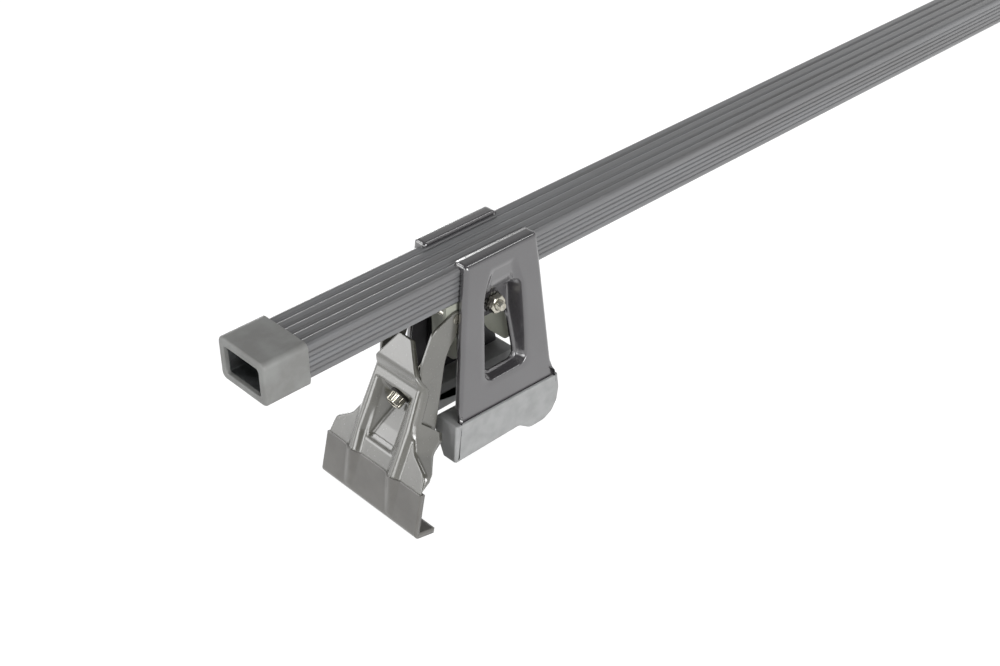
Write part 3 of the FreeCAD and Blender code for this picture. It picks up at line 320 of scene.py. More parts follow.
@dataclass(frozen=True)
class Finish:
    """A surface finish: its name, its colour and the colour of its darker patches."""

    name: str
    colour: str
    shade: str
    roughness: float
    metallic: float = 0.0
    ior: float = 1.5
    coat: float = 0.0
    coat_ior: float = 1.5
    # Size of the surface's grain and how deep it is, and size of the cloudy patches of colour
    grain_mm: float = 0.5
    grain_deep_mm: float = 0.01
    patch_mm: float = 20.0
    roughness_swing: float = 0.08
    # Patterns that run along the bar are drawn out by this factor in X
    drawn_out: float = 1.0

    def material(self) -> bpy.types.Material:
        """The finish's node material, made once."""
        made = bpy.data.materials.get(self.name)
        return made if made else self.build()

    def build(self) -> bpy.types.Material:
        """Builds the material: cloudy colour, uneven gloss and fine grain on object coordinates.

        Returns:
            The new material.
        """
        material = bpy.data.materials.new(self.name)
        material.use_nodes = True
        tree = material.node_tree
        tree.nodes.clear()
        place = add(tree, "ShaderNodeTexCoord").outputs["Object"]
        place = add(tree, "ShaderNodeMapping", {"Vector": place, "Scale": (1 / self.drawn_out, 1, 1)}).outputs[0]
        patches = add(tree, "ShaderNodeTexNoise", {
            "Vector": place, "Scale": 1 / (self.patch_mm * MM), "Detail": 4.0,
        })
        cloud = add(tree, "ShaderNodeMapRange", {
            "Value": patches.outputs["Fac"], "From Min": 0.35, "From Max": 0.62,
        })
        colour = add(tree, "ShaderNodeMix", {0: cloud.outputs[0], 6: linear(self.shade), 7: linear(self.colour)},
                     data_type="RGBA").outputs[2]
        grain = add(tree, "ShaderNodeTexNoise", {
            "Vector": place, "Scale": 1 / (self.grain_mm * MM), "Detail": 3.0,
        })
        gloss = add(tree, "ShaderNodeMapRange", {
            "Value": grain.outputs["Fac"],
            "To Min": max(self.roughness - self.roughness_swing, 0.02),
            "To Max": self.roughness + self.roughness_swing,
        })
        bump = add(tree, "ShaderNodeBump", {
            "Height": self.height(tree, place, grain.outputs["Fac"]),
            "Distance": self.grain_deep_mm * MM,
            "Strength": 1.0,
        })
        shader = add(tree, "ShaderNodeBsdfPrincipled", {
            "Base Color": self.tinted(tree, place, colour, grain.outputs["Fac"]),
            "Roughness": gloss.outputs[0],
            "Metallic": self.metallic,
            "Normal": bump.outputs[0],
            "Coat Weight": self.coat,
            "Coat Roughness": self.roughness * 0.8,
            "Coat IOR": self.coat_ior,
        })
        if self.metallic < 0.5:
            shader.inputs["IOR"].default_value = self.ior
        add(tree, "ShaderNodeOutputMaterial", {"Surface": shader.outputs[0]})
        return material

    def height(self, tree: bpy.types.NodeTree, place: bpy.types.NodeSocket,
               grain: bpy.types.NodeSocket) -> bpy.types.NodeSocket:
        """The height that the bump reads; the grain itself unless a finish has more."""
        return grain

    def tinted(self, tree: bpy.types.NodeTree, place: bpy.types.NodeSocket, colour: bpy.types.NodeSocket,
               grain: bpy.types.NodeSocket) -> bpy.types.NodeSocket:
        """The colour with a finish's own marks; as it is unless a finish has some."""
        return colour


@dataclass(frozen=True)
class SpangledZinc(Finish):
    """Zinc on steel: crystals of slightly different tone, drawn as Voronoi cells of spangle_mm."""

    spangle_mm: float = 2.0
    dull: str = "#d2d2d0"

    def tinted(self, tree: bpy.types.NodeTree, place: bpy.types.NodeSocket, colour: bpy.types.NodeSocket,
               grain: bpy.types.NodeSocket) -> bpy.types.NodeSocket:
        """Lightens and darkens the colour cell by cell.

        Args:
            tree: node tree that takes the nodes.
            place: the pattern's coordinates.
            colour: the colour so far.
            grain: the fine grain, which the cells don't need.

        Returns:
            The spangled colour.
        """
        cells = add(tree, "ShaderNodeTexVoronoi", {"Vector": place, "Scale": 1 / (self.spangle_mm * MM)})
        tone = add(tree, "ShaderNodeMix", {0: cells.outputs["Color"], 6: linear(self.dull), 7: linear("#ffffff")},
                   data_type="RGBA").outputs[2]
        return add(tree, "ShaderNodeMix", {0: 1.0, 6: colour, 7: tone}, data_type="RGBA",
                   blend_type="MULTIPLY").outputs[2]


# Ribbed PVC drawn out of a die: satin, with faint streaks along the bar
SLEEVE_PVC = Finish("extruded_satin_pvc", "#6f7072", "#626263", 0.34, ior=1.6, coat=0.45, coat_ior=1.6,
                    grain_mm=0.7,
                    grain_deep_mm=0.012, patch_mm=5, drawn_out=30)
# Soft PVC from a sandblasted mould: fine even grain that blurs every reflection
CAP_PVC = Finish("moulded_soft_pvc", "#8d8e8c", "#80807e", 0.5, grain_mm=0.6, grain_deep_mm=0.02, patch_mm=12)
# Wet-look enamel on pressed steel: dark, mirror-like, faint orange peel
SHELL_ENAMEL = Finish("gloss_enamel_on_pressed_steel", "#3f3d40", "#383639", 0.24, ior=1.6, coat=1.0,
                      coat_ior=1.8, grain_mm=3.5,
                      grain_deep_mm=0.012, patch_mm=30, roughness_swing=0.04)
# The same enamel inside the shells, dull and coloured nearly black: painted shade for the shaded insides
DULL_ENAMEL_PAINTED_SHADE = Finish("thin_enamel_inside_shells", "#2b2a2c", "#201f21", 0.55, grain_mm=1.5, grain_deep_mm=0.02,
                     patch_mm=12)
# Moulded EPDM rubber: matt, with dusty lighter patches
PAD_RUBBER = Finish("moulded_epdm_rubber", "#a9aaaa", "#9c9d9d", 0.62, grain_mm=0.5, grain_deep_mm=0.03,
                    patch_mm=9, ior=1.52)
# Powder coat in a greenish grey: satin with soft orange peel
CLAMP_POWDER = Finish("satin_powder_coat_green_grey", "#55544d", "#4b4a43", 0.26, ior=1.6, coat=1.0,
                      coat_ior=1.7, grain_mm=1.6,
                      grain_deep_mm=0.008, patch_mm=18, roughness_swing=0.04)
# Dipped vinyl over the hook: a little duller and warmer than the coat above it
DIPPED_VINYL = Finish("dipped_vinyl_grey", "#63615d", "#595753", 0.34, ior=1.6, coat=0.5, grain_mm=1.1,
                      grain_deep_mm=0.02, patch_mm=14)
# The same powder coat on the inner saddle, coloured paler all over: painted light for the light that reaches it
# through the window
SADDLE_POWDER_PAINTED_LIGHT = Finish("satin_powder_coat_painted_lit", "#a3a599", "#95978c", 0.4, grain_mm=1.6, grain_deep_mm=0.02,
                       patch_mm=16)
# Bright zinc plate on screws and nuts, passivated to a faint yellow
PLATED_ZINC = SpangledZinc("bright_zinc_plate", "#d2cfc4", "#b9b5a8", 0.2, metallic=1.0, grain_mm=0.4,
                           grain_deep_mm=0.006, patch_mm=3, spangle_mm=0.9)
# Hot-dip galvanising inside the tube, with larger crystals
TUBE_ZINC = SpangledZinc("hot_dip_galvanised_steel", "#a9acae", "#8e9193", 0.42, metallic=1.0, grain_mm=0.8,
                         grain_deep_mm=0.01, patch_mm=10, spangle_mm=6)
# Phosphated spring steel of the toothed washers: nearly black, oily; the same dark finish lines the clamp screw's
# socket as painted shade for its depth
PHOSPHATE_AND_SOCKET_SHADE = Finish("black_phosphate_spring_steel", "#3b3a37", "#2c2b29", 0.42, metallic=0.8, grain_mm=0.3,
                   grain_deep_mm=0.01, patch_mm=2)


def put_piece(name: str, points: Array, faces: Array, finish: Finish, body: str,
              nodes: list[str], caps: list[list[int]] | None = None, sharp: float = 40.0,
              inside: Finish | None = None) -> bpy.types.Object:
    """Makes a mesh of points in the shared frame, dresses it and hangs it on its body.

    Args:
        name: the piece's name.
        points: points in metres, any leading shape.
        faces: four corners of each face.
        finish: what it is dressed with.
        body: the body that it rides on.
        nodes: the CAD nodes that it stands for.
        caps: closed outlines that are filled with one face each.
        sharp: angle in degrees past which an edge stays crisp.
        inside: what the hidden side of a pressed sheet is dressed with, if that differs.

    Returns:
        The finished object.
    """
    mesh = bpy.data.meshes.new(name)
    cells = faces.tolist() + (caps or [])
    mesh.from_pydata(points.reshape(-1, 3).tolist(), [], cells)
    work = bmesh.new()
    work.from_mesh(mesh)
    bmesh.ops.remove_doubles(work, verts=work.verts, dist=1e-6)
    bmesh.ops.recalc_face_normals(work, faces=work.faces)
    work.to_mesh(mesh)
    work.free()
    mesh.polygons.foreach_set("use_smooth", np.ones(len(mesh.polygons), bool))
    mesh.set_sharp_from_angle(angle=math.radians(sharp))
    piece = bpy.data.objects.new(name, mesh)
    bpy.context.scene.collection.objects.link(piece)
    mesh.materials.append(finish.material())
    if inside:
        mesh.materials.append(inside.material())
    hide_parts(*nodes)
    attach(piece, body)
    log.info("%s: %d faces", name, len(mesh.polygons))
    return piece


def thicken(piece: bpy.types.Object, thickness: float, outwards: Array) -> None:
    """Gives a pressed sheet its thickness behind the seen face.

    Args:
        piece: the sheet, drawn by its seen face.
        thickness: sheet thickness in mm.
        outwards: direction that most of the seen face looks in.
    """
    mesh = piece.data
    normals = np.empty(len(mesh.polygons) * 3, np.float32)
    areas = np.empty(len(mesh.polygons), np.float32)
    mesh.polygons.foreach_get("normal", normals)
    mesh.polygons.foreach_get("area", areas)
    if float((normals.reshape(-1, 3) @ np.asarray(outwards, float)) @ areas) < 0:
        mesh.flip_normals()
    wall = piece.modifiers.new("sheet", "SOLIDIFY")
    wall.thickness = thickness * MM
    wall.offset = -1.0
    wall.material_offset = len(mesh.materials) - 1


# The bar


@dataclass(frozen=True)
class Bar:
    """Ribbed sleeve over its steel tube, and both end caps, in mm."""

    width: float = 34.5
    height: float = 22.0
    corner: float = 2.4
    wall: float = 1.0
    bore_wall: float = 2.5
    top_count: int = 4
    top_pitch: float = 6.8
    top_wide: float = 3.4
    top_deep: float = 0.6
    side_count: int = 5
    side_pitch: float = 3.1
    side_wide: float = 1.5
    side_deep: float = 0.8
    cap_length: float = 28.5
    cap_wall: float = 2.1
    cap_end_wall: float = 2.6
    cap_corner: float = 3.4
    cap_round: float = 1.6

    def section(self) -> Array:
        """Outer outline of the sleeve, across and up from the bar's top.

        Formula: a rounded rectangle, less a raised-cosine groove at each pitch of its top and sides.

        Returns:
            Closed outline, points by 2.
        """
        half = self.width / 2
        corners = [(-half, 0), (half, 0), (half, -self.height), (-half, -self.height)]
        loop = even_loop(np.array(corners), np.full(4, self.corner), [160, 110, 40, 110])
        across, up = loop[:, 0], loop[:, 1]
        top = self.grooves(across, self.top_count, self.top_pitch, self.top_wide) * (up > -0.01)
        side = self.grooves(up + self.height / 2, self.side_count, self.side_pitch, self.side_wide)
        side = side * (np.abs(across) > half - 0.01)
        return np.stack([across - np.sign(across) * side * self.side_deep, up - top * self.top_deep], axis=1)

    @staticmethod
    def grooves(x: Array, count: int, pitch: float, wide: float) -> Array:
        """A row of raised-cosine grooves as shares of their depth.

        Args:
            x: place across the row, 0 at its middle.
            count: number of grooves.
            pitch: distance from groove to groove.
            wide: width of a groove.

        Returns:
            0 on the land and 1 at a groove's bottom.
        """
        last = (count - 1) / 2
        off = x - np.clip(np.round(x / pitch + last % 1) - last % 1, -last, last) * pitch
        return 0.5 + 0.5 * np.cos(np.pi * np.clip(off / (wide / 2), -1, 1))

    def build_sleeve(self) -> None:
        """Sweeps the section along the bar, with a plain bore inside it."""
        outer = self.section()
        inner = inset(even_loop(
            np.array([(-self.width / 2, 0), (self.width / 2, 0), (self.width / 2, -self.height),
                      (-self.width / 2, -self.height)]), np.full(4, self.corner), [160, 110, 40, 110]), self.wall)
        reach = BAR_LENGTH / 2 - self.cap_end_wall
        stations = np.array([-reach, reach, reach, -reach])
        loops = np.stack([outer, outer, inner, inner])
        points = np.stack([
            np.broadcast_to(stations[:, None], loops.shape[:2]), loops[..., 0], loops[..., 1] + STAND,
        ], axis=-1) * MM
        put_piece("ribbed_sleeve", points, grid_faces(4, len(outer), True, True), SLEEVE_PVC, "crossbar",
                  ["bar_sleeve"])

    def build_cap(self, end: End) -> None:
        """Lofts an end cap through outlines: bore, rim, rounded skin, face, window and back to the bore.

        Formula: every outline is a rounded rectangle; the face's edge insets by r(1 - sin a) while it
        advances by r(1 - cos a).

        Args:
            end: which end of the bar.
        """
        half, low = self.width / 2, -self.height
        box = np.array([(-half, 0), (half, 0), (half, low), (-half, low)])
        counts = [36, 24, 36, 24]

        def loop(grow: float, radius: float) -> Array:
            """The bar's outline grown by a distance, with corners of a radius."""
            out = box + np.array([(-1, 1), (1, 1), (1, -1), (-1, -1)]) * grow
            return even_loop(out, np.full(4, radius), counts)

        angles = np.linspace(0, math.pi / 2, 7)
        r, rim = self.cap_round, 0.6
        rows: list[tuple[float, Array]] = [
            (self.cap_end_wall, loop(-0.05, 1.0)),
            (self.cap_length - rim, loop(0.0, 1.2)),
            (self.cap_length, loop(rim, 1.6)),
            (self.cap_length, loop(self.cap_wall - rim, 2.8)),
            (self.cap_length - rim, loop(self.cap_wall, self.cap_corner)),
            (self.cap_length * 0.5, loop(self.cap_wall, self.cap_corner)),
        ]
        rows += [(r * (1 - math.sin(a)), loop(self.cap_wall - r * (1 - math.cos(a)), self.cap_corner)) for a in angles]
        mouth = -self.bore_wall
        rows += [(0.0, loop(self.cap_wall - r - 0.5, self.cap_corner - 0.8)), (0.0, loop(mouth + 1.2, 2.4))]
        rows += [(0.6 * (1 - math.cos(a)), loop(mouth + 0.6 * (1 - math.sin(a)), 2.2)) for a in angles]
        rows += [(self.cap_end_wall, loop(mouth, 1.6))]
        loops = np.stack([row[1] for row in rows])
        depth = np.array([row[0] for row in rows])[:, None]
        x = -end.value * (BAR_LENGTH / 2 - depth)
        points = np.stack([
            np.broadcast_to(x, loops.shape[:2]), end.value * loops[..., 0], loops[..., 1] + STAND,
        ], axis=-1) * MM
        put_piece(f"{end.word}_cap_moulding", points, grid_faces(*loops.shape[:2], True, True), CAP_PVC,
                  "crossbar", [f"{end.word}_end_cap"])


# The foot


@dataclass(frozen=True)
class Shell:
    """Pressed shell of a foot: lip on the bar, flanged sides, dished web and window, in mm."""

    lip_top: float = 2.2
    lip_inner: float = 12.6
    top_half: float = 21.8
    flare: float = 0.040
    top_wide: float = 54.8
    side_flare: float = 0.105
    low: float = 106.0
    flange: float = 4.2
    flange_end: float = 86.0
    bend: float = 2.6
    corner: float = 1.6
    sheet: float = 2.0
    ramp: float = 2.9
    floor_v: float = 12.8
    floor_low_v: float = 19.2

    def half(self, w: Array) -> Array:
        """How far the outer face stands off the middle at a height."""
        return self.top_half + (self.lip_top - w) * self.flare

    def wide(self, w: float) -> float:
        """Half of the outline's width at a height."""
        return self.top_wide / 2 + (self.lip_top - w) * self.side_flare

    def floor_depth(self, w: Array) -> Array:
        """How deep the dish is: ramp beside the bar, flat seat for the bolt, then running out.

        Args:
            w: heights.

        Returns:
            Depths behind the web.
        """
        heights = [-83.0, -79.8, -74.0, -43.5, -29.0, -27.0, -22.4, -4.5, 3.0]
        half = self.half(np.array(heights))
        low_run = (79.8 - 43.5)
        run = self.floor_v + (self.floor_low_v - self.floor_v) * np.array([1, 1, (74 - 43.5) / low_run, 0, 0])
        depths = np.concatenate([
            [3.2, half[1] - run[1], half[2] - run[2], half[3] - run[3], half[4] - run[4]],
            [half[5] - self.floor_v - 0.7, self.ramp + 0.4, 0.0, 0.0],
        ])
        return np.interp(w, heights, depths)

    def loops(self) -> tuple[Array, Array]:
        """The sheet's outer face as closed loops from the window's edge out to the lip and flanges.

        Formula: the dish falls from its rim by the raised cosine of how far a loop lies inside the
        rim; the edges bend by r(1 - sin a) outwards and r(1 - cos a) back, and the wall then runs on.

        Returns:
            Outline of each loop in (u, w), and the depth of each point behind the web.
        """
        counts = [56, 22, 84, 56, 84, 22]
        window = np.array([(-11.4, -43.5), (11.4, -43.5), (11.6, -50), (12.6, -77.2), (-12.6, -77.2), (-11.6, -50)])
        dish = np.array([(-10.0, -4.5), (10.0, -4.5), (15.4, -22.0), (17.6, -79.8), (-17.6, -79.8), (-15.4, -22.0)])
        window_loop = even_loop(window, np.array([3, 3, 2, 5, 5, 2.0]), counts)
        rim = even_loop(dish, np.array([3, 3, 30, 7, 7, 30.0]), counts)
        outlines, shares = [], []
        low_wall = np.array([(-6.2, -9.5), (6.2, -9.5), (11.2, -25.0), (13.1, -77.6), (-13.1, -77.6), (-11.2, -25.0)])
        foot = even_loop(low_wall, np.array([1.5, 1.5, 20, 3.5, 3.5, 20.0]), counts)
        for share in np.linspace(0, 1, 7)[:-1]:
            outlines.append(window_loop + (foot - window_loop) * share)
            shares.append(np.ones(len(rim)))
        for share in np.linspace(1, 0, 15):
            outlines.append(rim + (foot - rim) * share)
            shares.append(np.full(len(rim), 0.5 - 0.5 * math.cos(math.pi * share)))
        edge = self.edge_outline(counts, self.bend)
        for share in np.linspace(0, 1, 9)[1:]:
            outlines.append(rim + (edge - rim) * share ** 0.8)
            shares.append(np.zeros(len(rim)))
        outlines, shares = np.stack(outlines), np.stack(shares)
        behind = shares * self.floor_depth(outlines[..., 1])
        return self.bent(outlines, behind, counts)

    def edge_outline(self, counts: list[int], gap: float) -> Array:
        """Outline of the web at a distance inside the pressed edges.

        Args:
            counts: points of each side.
            gap: the distance.

        Returns:
            Closed outline in (u, w).
        """
        top, low = self.lip_top, -self.low
        a, b = self.wide(top), self.wide(low)
        middle = self.wide(-22.0)
        corners = np.array([(-a + gap, top - gap), (a - gap, top - gap), (middle - gap, -22.0),
                            (b - gap, low + gap), (-b + gap, low + gap), (-middle + gap, -22.0)])
        radius = max(self.corner - gap, 0.5)
        return even_loop(corners, np.array([radius, radius, 2, 0.8, 0.8, 2]), counts)

    def bent(self, outlines: Array, behind: Array, counts: list[int]) -> tuple[Array, Array]:
        """Adds the bend and the turned-in walls to the web's loops.

        Args:
            outlines: the web's loops.
            behind: their depth.
            counts: points of each side of a loop.

        Returns:
            All loops and their depth.
        """
        more, deep = [], []
        for angle in np.linspace(0, math.pi / 2, 8)[1:]:
            line = self.edge_outline(counts, self.bend * (1 - math.sin(angle)))
            more.append(line)
            deep.append(self.bend * (1 - math.cos(angle)) * self.turned_in(line[:, 1]))
        line = self.edge_outline(counts, 0.0)
        lip = self.half(np.array(0.0)) - self.lip_inner
        reach = np.where(line[:, 1] > -1.4, lip, self.flange)
        for share in (0.35, 0.7, 1.0):
            more.append(line + np.array([0, -0.05 * share]) * (1 - self.turned_in(line[:, 1]))[:, None])
            deep.append((self.bend + (reach - self.bend) * share) * self.turned_in(line[:, 1]))
        return np.concatenate([outlines, np.stack(more)]), np.concatenate([behind, np.stack(deep)])

    def turned_in(self, w: Array) -> Array:
        """How far the edge is turned in at a height: fully above the flange's end, not at all below."""
        return ease(-self.flange_end - 8, -self.flange_end, w)

    def build(self, end: End, face: Face) -> None:
        """Makes one shell of a foot.

        Args:
            end: which foot.
            face: which of its faces.
        """
        outline, behind = self.loops()
        u, w = outline[..., 0], outline[..., 1]
        v = -self.half(w) + behind
        points = FootFrame(end).world(face.value * u, face.value * v, w)
        name = f"{end.word}_{face.word}_shell"
        # The sheet's inner faces are dressed in the nearly black painted shade of the shells' insides
        piece = put_piece(name + "_pressing", points, grid_faces(*u.shape, ring_columns=True), SHELL_ENAMEL,
                          f"{end.word}_foot", [name], sharp=60, inside=DULL_ENAMEL_PAINTED_SHADE)
        thicken(piece, self.sheet, np.array([0, -end.value * face.value, 0]))


@dataclass(frozen=True)
class Pad:
    """Rubber pad on a shell's lower edge: stepped sole, slot for the sheet, bevelled inside, in mm."""

    outer_v: float = 27.8
    inner_v: float = 10.4
    top: float = 96.5
    sole: float = 122.3
    toe: float = 128.6
    top_fall: float = 2.6
    heel_u: float = 43.8
    nose_u: float = 42.2
    step_u: float = 9.0
    rim: float = 2.5
    slot_out: float = 26.15
    slot_in: float = 23.6
    slot_half: float = 37.9
    slot_deep: float = 9.0

    def outline(self, dip: float, lift: float, shrink: float) -> Array:
        """The pad's side outline: toe and heel rounded, top dipped where the sheet stands in it.

        Args:
            dip: how deep the slot is at this level across.
            lift: how far the sole is raised by the inner bevel.
            shrink: how far the rim is rounded off.

        Returns:
            Closed outline in (u, w).
        """
        n, toe, sole, top = self.nose_u, -self.toe, -self.sole, -self.top
        a = self.slot_half
        corners = np.array([
            (-self.heel_u, sole + lift), (-self.heel_u + 2.1, top), (-a - 0.02, top), (-a, top - dip),
            (a, top - self.top_fall - dip), (a + 0.02, top - self.top_fall), (n - 1.5, top - self.top_fall),
            (n, 0.58 * top + 0.42 * toe), (n - 1.6, 0.3 * top + 0.7 * toe),
            (n - 6, 0.1 * top + 0.9 * toe + lift * 0.5), (n - 13, toe + lift), (n - 24, toe + lift),
            (self.step_u, sole + lift),
        ])
        radii = np.array([2.2, 1.0, 0.01, 0.01, 0.01, 0.01, 0.5, 4, 5, 6, 6, 8, 6])
        loop = even_loop(corners, radii, [26, 6, 4, 40, 4, 6, 12, 8, 8, 10, 12, 18, 44])
        if not shrink:
            return loop
        edge = top - self.top_fall * np.clip((loop[:, 0] + a) / (2 * a), 0, 1)
        keep_top = 1 - ease(edge - 0.3, edge, loop[:, 1])
        moved = inset(loop, shrink)
        return np.stack([moved[:, 0], loop[:, 1] + (moved[:, 1] - loop[:, 1]) * np.maximum(keep_top, 0.25)], axis=1)

    def build(self, end: End, face: Face) -> None:
        """Stacks the outlines across the pad, from its seen face to its inner one.

        Formula: at angle a the rim shrinks by r(1 - sin a) while the level moves in by r(1 - cos a).

        Args:
            end: which foot.
            face: which of its faces.
        """
        stack: list[tuple[float, Array]] = [(self.outer_v, self.outline(0, 0, self.rim + gap)) for gap in (0.9, 0.3)]
        for a in np.linspace(0, math.pi / 2, 8):
            level = self.outer_v - self.rim * (1 - math.cos(a)) * 0.6
            stack.append((level, self.outline(0, 0, self.rim * (1 - math.sin(a)))))
        stack += [(self.slot_out + 0.12, self.outline(0, 0, 0)), (self.slot_out, self.outline(0.3, 0, 0)),
                  (self.slot_out - 0.02, self.outline(self.slot_deep, 0, 0)),
                  (self.slot_in, self.outline(self.slot_deep, 0, 0)), (self.slot_in - 0.02, self.outline(0, 0, 0)),
                  (17.6, self.outline(0, 0, 0)), (self.inner_v + 0.5, self.outline(0, 15.2, 0)),
                  (self.inner_v, self.outline(0, 15.9, 0.5)), (self.inner_v, self.outline(0, 15.9, 2.0))]
        u = np.stack([loop[:, 0] for _, loop in stack])
        w = np.stack([loop[:, 1] for _, loop in stack])
        v = -np.array([level for level, _ in stack])[:, None]
        mirrored = face.value
        points = FootFrame(end).world(u, mirrored * v, w)
        rows, columns = u.shape
        caps = [list(range(columns)), list(range((rows - 1) * columns, rows * columns))]
        name = f"{end.word}_{face.word}_pad"
        put_piece(name + "_moulding", points, grid_faces(rows, columns, ring_columns=True), PAD_RUBBER,
                  f"{end.word}_foot", [name], caps, sharp=50)


# The clamp


@dataclass(frozen=True)
class Clamp:
    """Pressed clamp plate with its dipped coat, in the clamp's frame and in mm."""

    sheet: float = 2.0
    base: float = 3.2
    ridge_s: float = 55.0
    ridge_half: float = 18.1
    seam_half: float = 22.6
    pocket_half: float = 13.8
    pocket_deep: float = 13.4
    rake: float = 1.33
    crown: float = 1.9
    neck_rise: float = 24.0
    neck_out: float = 16.3
    kick: float = 12.1
    skirt: float = 28.0
    hook_half: float = 41.1
    hook: float = 13.6
    hook_round: float = 4.0
    coat: float = 0.8

    def half(self, s: Array) -> Array:
        """Half of the plate's width up the plate: skirt, rounded shoulders, scallops, frame and neck.

        Formula: the rounded corners of the outline, read off by height.

        Args:
            s: heights up the plate.

        Returns:
            Half widths.
        """
        corners = np.array([(60, -30.0), (41.1, -30.0), (40.5, 0), (40.5, 10.5), (34.5, 14.5), (28.4, 18.5),
                            (23.2, 28.0), (22.0, 34), (20.4, 56.0), (5.4, 80.0), (0, 90.0), (60, 90)])
        radii = np.array([1, 0.1, 5, 5.5, 9, 8, 10, 12, 2.2, 1.5, 0.5, 1.0])
        line = rounded_outline(corners, radii)[1:-1].reshape(-1, 2)
        order = np.argsort(line[:, 1], kind="stable")
        return np.interp(s, line[order, 1], line[order, 0])

    def crest(self, s: Array) -> Array:
        """The frame's highest line: level up to the ridge, leaning out along the neck, sinking below the seam.

        Args:
            s: heights up the plate.

        Returns:
            Depths n.
        """
        out = -self.neck_out / self.neck_rise * (s - self.ridge_s)
        up = smooth_min(np.zeros_like(s), out, 0.9)
        return np.where(s < 0, -s * 0.351, up)

    def plane(self, s: Array) -> Array:
        """The plate's own face: level above the seam and kicking in below it."""
        return np.where(s < 0, self.base - s * math.tan(math.radians(self.kick)), self.base)

    def ribs(self, s: Array) -> tuple[Array, Array]:
        """Edges of the frame's two legs at each height.

        Args:
            s: heights up the plate.

        Returns:
            Distances of the inner and the outer edge off the middle.
        """
        return (np.interp(s, [-24, 0, 14, self.ridge_s], [12.6, 11.8, 13.6, self.pocket_half]),
                np.interp(s, [-24, 0, 30, self.ridge_s], [23.6, self.seam_half, 21.4, 19.4]))

    def floor(self, s: Array) -> Array:
        """Depth of the pocket's floor: a scooped lip, a long slope and the seat square to the screw."""
        return np.interp(s, [6.0, 9.6, 11.0, 14.5, 22, 37.6, 38.6, 48.6, 49.8],
                         [-3.5, 2.4, 3.6, 5.8, 8.0, self.pocket_deep, 13.2, 0.1, -4.0])

    def front(self, v: Array, s: Array) -> Array:
        """The plate's seen face over across and up.

        Formula: each leg of the frame is a parabola across that meets the plate's face at both its
        edges, joined to it by a smooth minimum; the pocket, a smooth minimum of its floor and raking
        walls, is cut in by a smooth maximum.

        Args:
            v: across.
            s: up.

        Returns:
            Depth n, more being further in.
        """
        side = np.abs(v)
        inner, outer = self.ribs(s)
        open_below = 1 - ease(47.5, 49.0, s)
        off = (side - (inner + outer) / 2) / ((outer - inner) / 2)
        off = np.where(off < 0, off * open_below, off)
        legs = self.crest(s) + np.interp(s, [0, 30, 60], [self.base + 0.5, self.crown, 1.2]) * off ** 2
        joined = smooth_min(legs, self.plane(s) + 0 * v, 1.8)
        walls = (inner + 0.3 - side) * self.rake
        return smooth_max(joined, smooth_min(self.floor(s), walls, 2.2), 1.4)

    def columns(self, s: Array) -> Array:
        """Where the grid's columns lie: they follow the frame's legs, then spread to the edge.

        Args:
            s: heights up the plate.

        Returns:
            Places across, heights by columns.
        """
        outer = self.ribs(s)[1][:, None]
        half = self.half(s)[:, None]
        near = np.concatenate([np.linspace(0, 0.6, 24, endpoint=False), np.linspace(0.6, 1.12, 52)])
        inside = np.minimum(near * outer, half)
        right = np.concatenate([inside, inside[:, -1:] + (half - inside[:, -1:]) * np.linspace(0, 1, 20)[1:]], axis=1)
        return np.concatenate([-right[:, :0:-1], right], axis=1)

    def build_plate(self, end: End) -> None:
        """Lays the pressed face on a grid and folds its shoulder flanges back.

        Formula: past the outline the sheet bends by r(1 - cos a) and runs back by the flange's depth.

        Args:
            end: which foot.
        """
        s = np.concatenate([np.linspace(-3, 6, 12), np.linspace(6.6, 36, 84), np.linspace(36.5, 60, 56),
                            np.linspace(60.6, 79.4, 26)])
        v = self.columns(s)
        up = np.broadcast_to(s[:, None], v.shape)
        n = self.front(v, up)
        bend = np.interp(s, [2, 8, 50, 60], [0.3, 2.4, 2.4, 1.2])[:, None]
        gap = np.abs(v[:, -1:]) - np.abs(v)
        inside = np.maximum(bend - gap, 0)
        n = n + bend - np.sqrt(np.maximum(bend ** 2 - inside ** 2, 0))
        back = np.interp(s, [3, 10, 14, 21, 25, 29, 35, 60, 79], [0.2, 2.0, 6.5, 15, 20, 20, 2.2, 2.2, 1.5])[:, None]
        walls = n[:, -1:] + back * np.linspace(0.12, 1, 6)[None]
        n = np.concatenate([walls[:, ::-1], n, walls], axis=1)
        edge = np.repeat(v[:, -1:], 6, axis=1)
        v = np.concatenate([-edge, v, edge], axis=1)
        up = np.broadcast_to(s[:, None], v.shape)
        points = ClampFrame(end).world(n, v, up)
        piece = put_piece(f"{end.word}_clamp_pressing", points, grid_faces(*v.shape), CLAMP_POWDER,
                          f"{end.word}_clamp", [f"{end.word}_clamp_plate"], sharp=70)
        thicken(piece, self.sheet, np.array([-end.value, 0, 0.4]))
        self.build_ears(end)

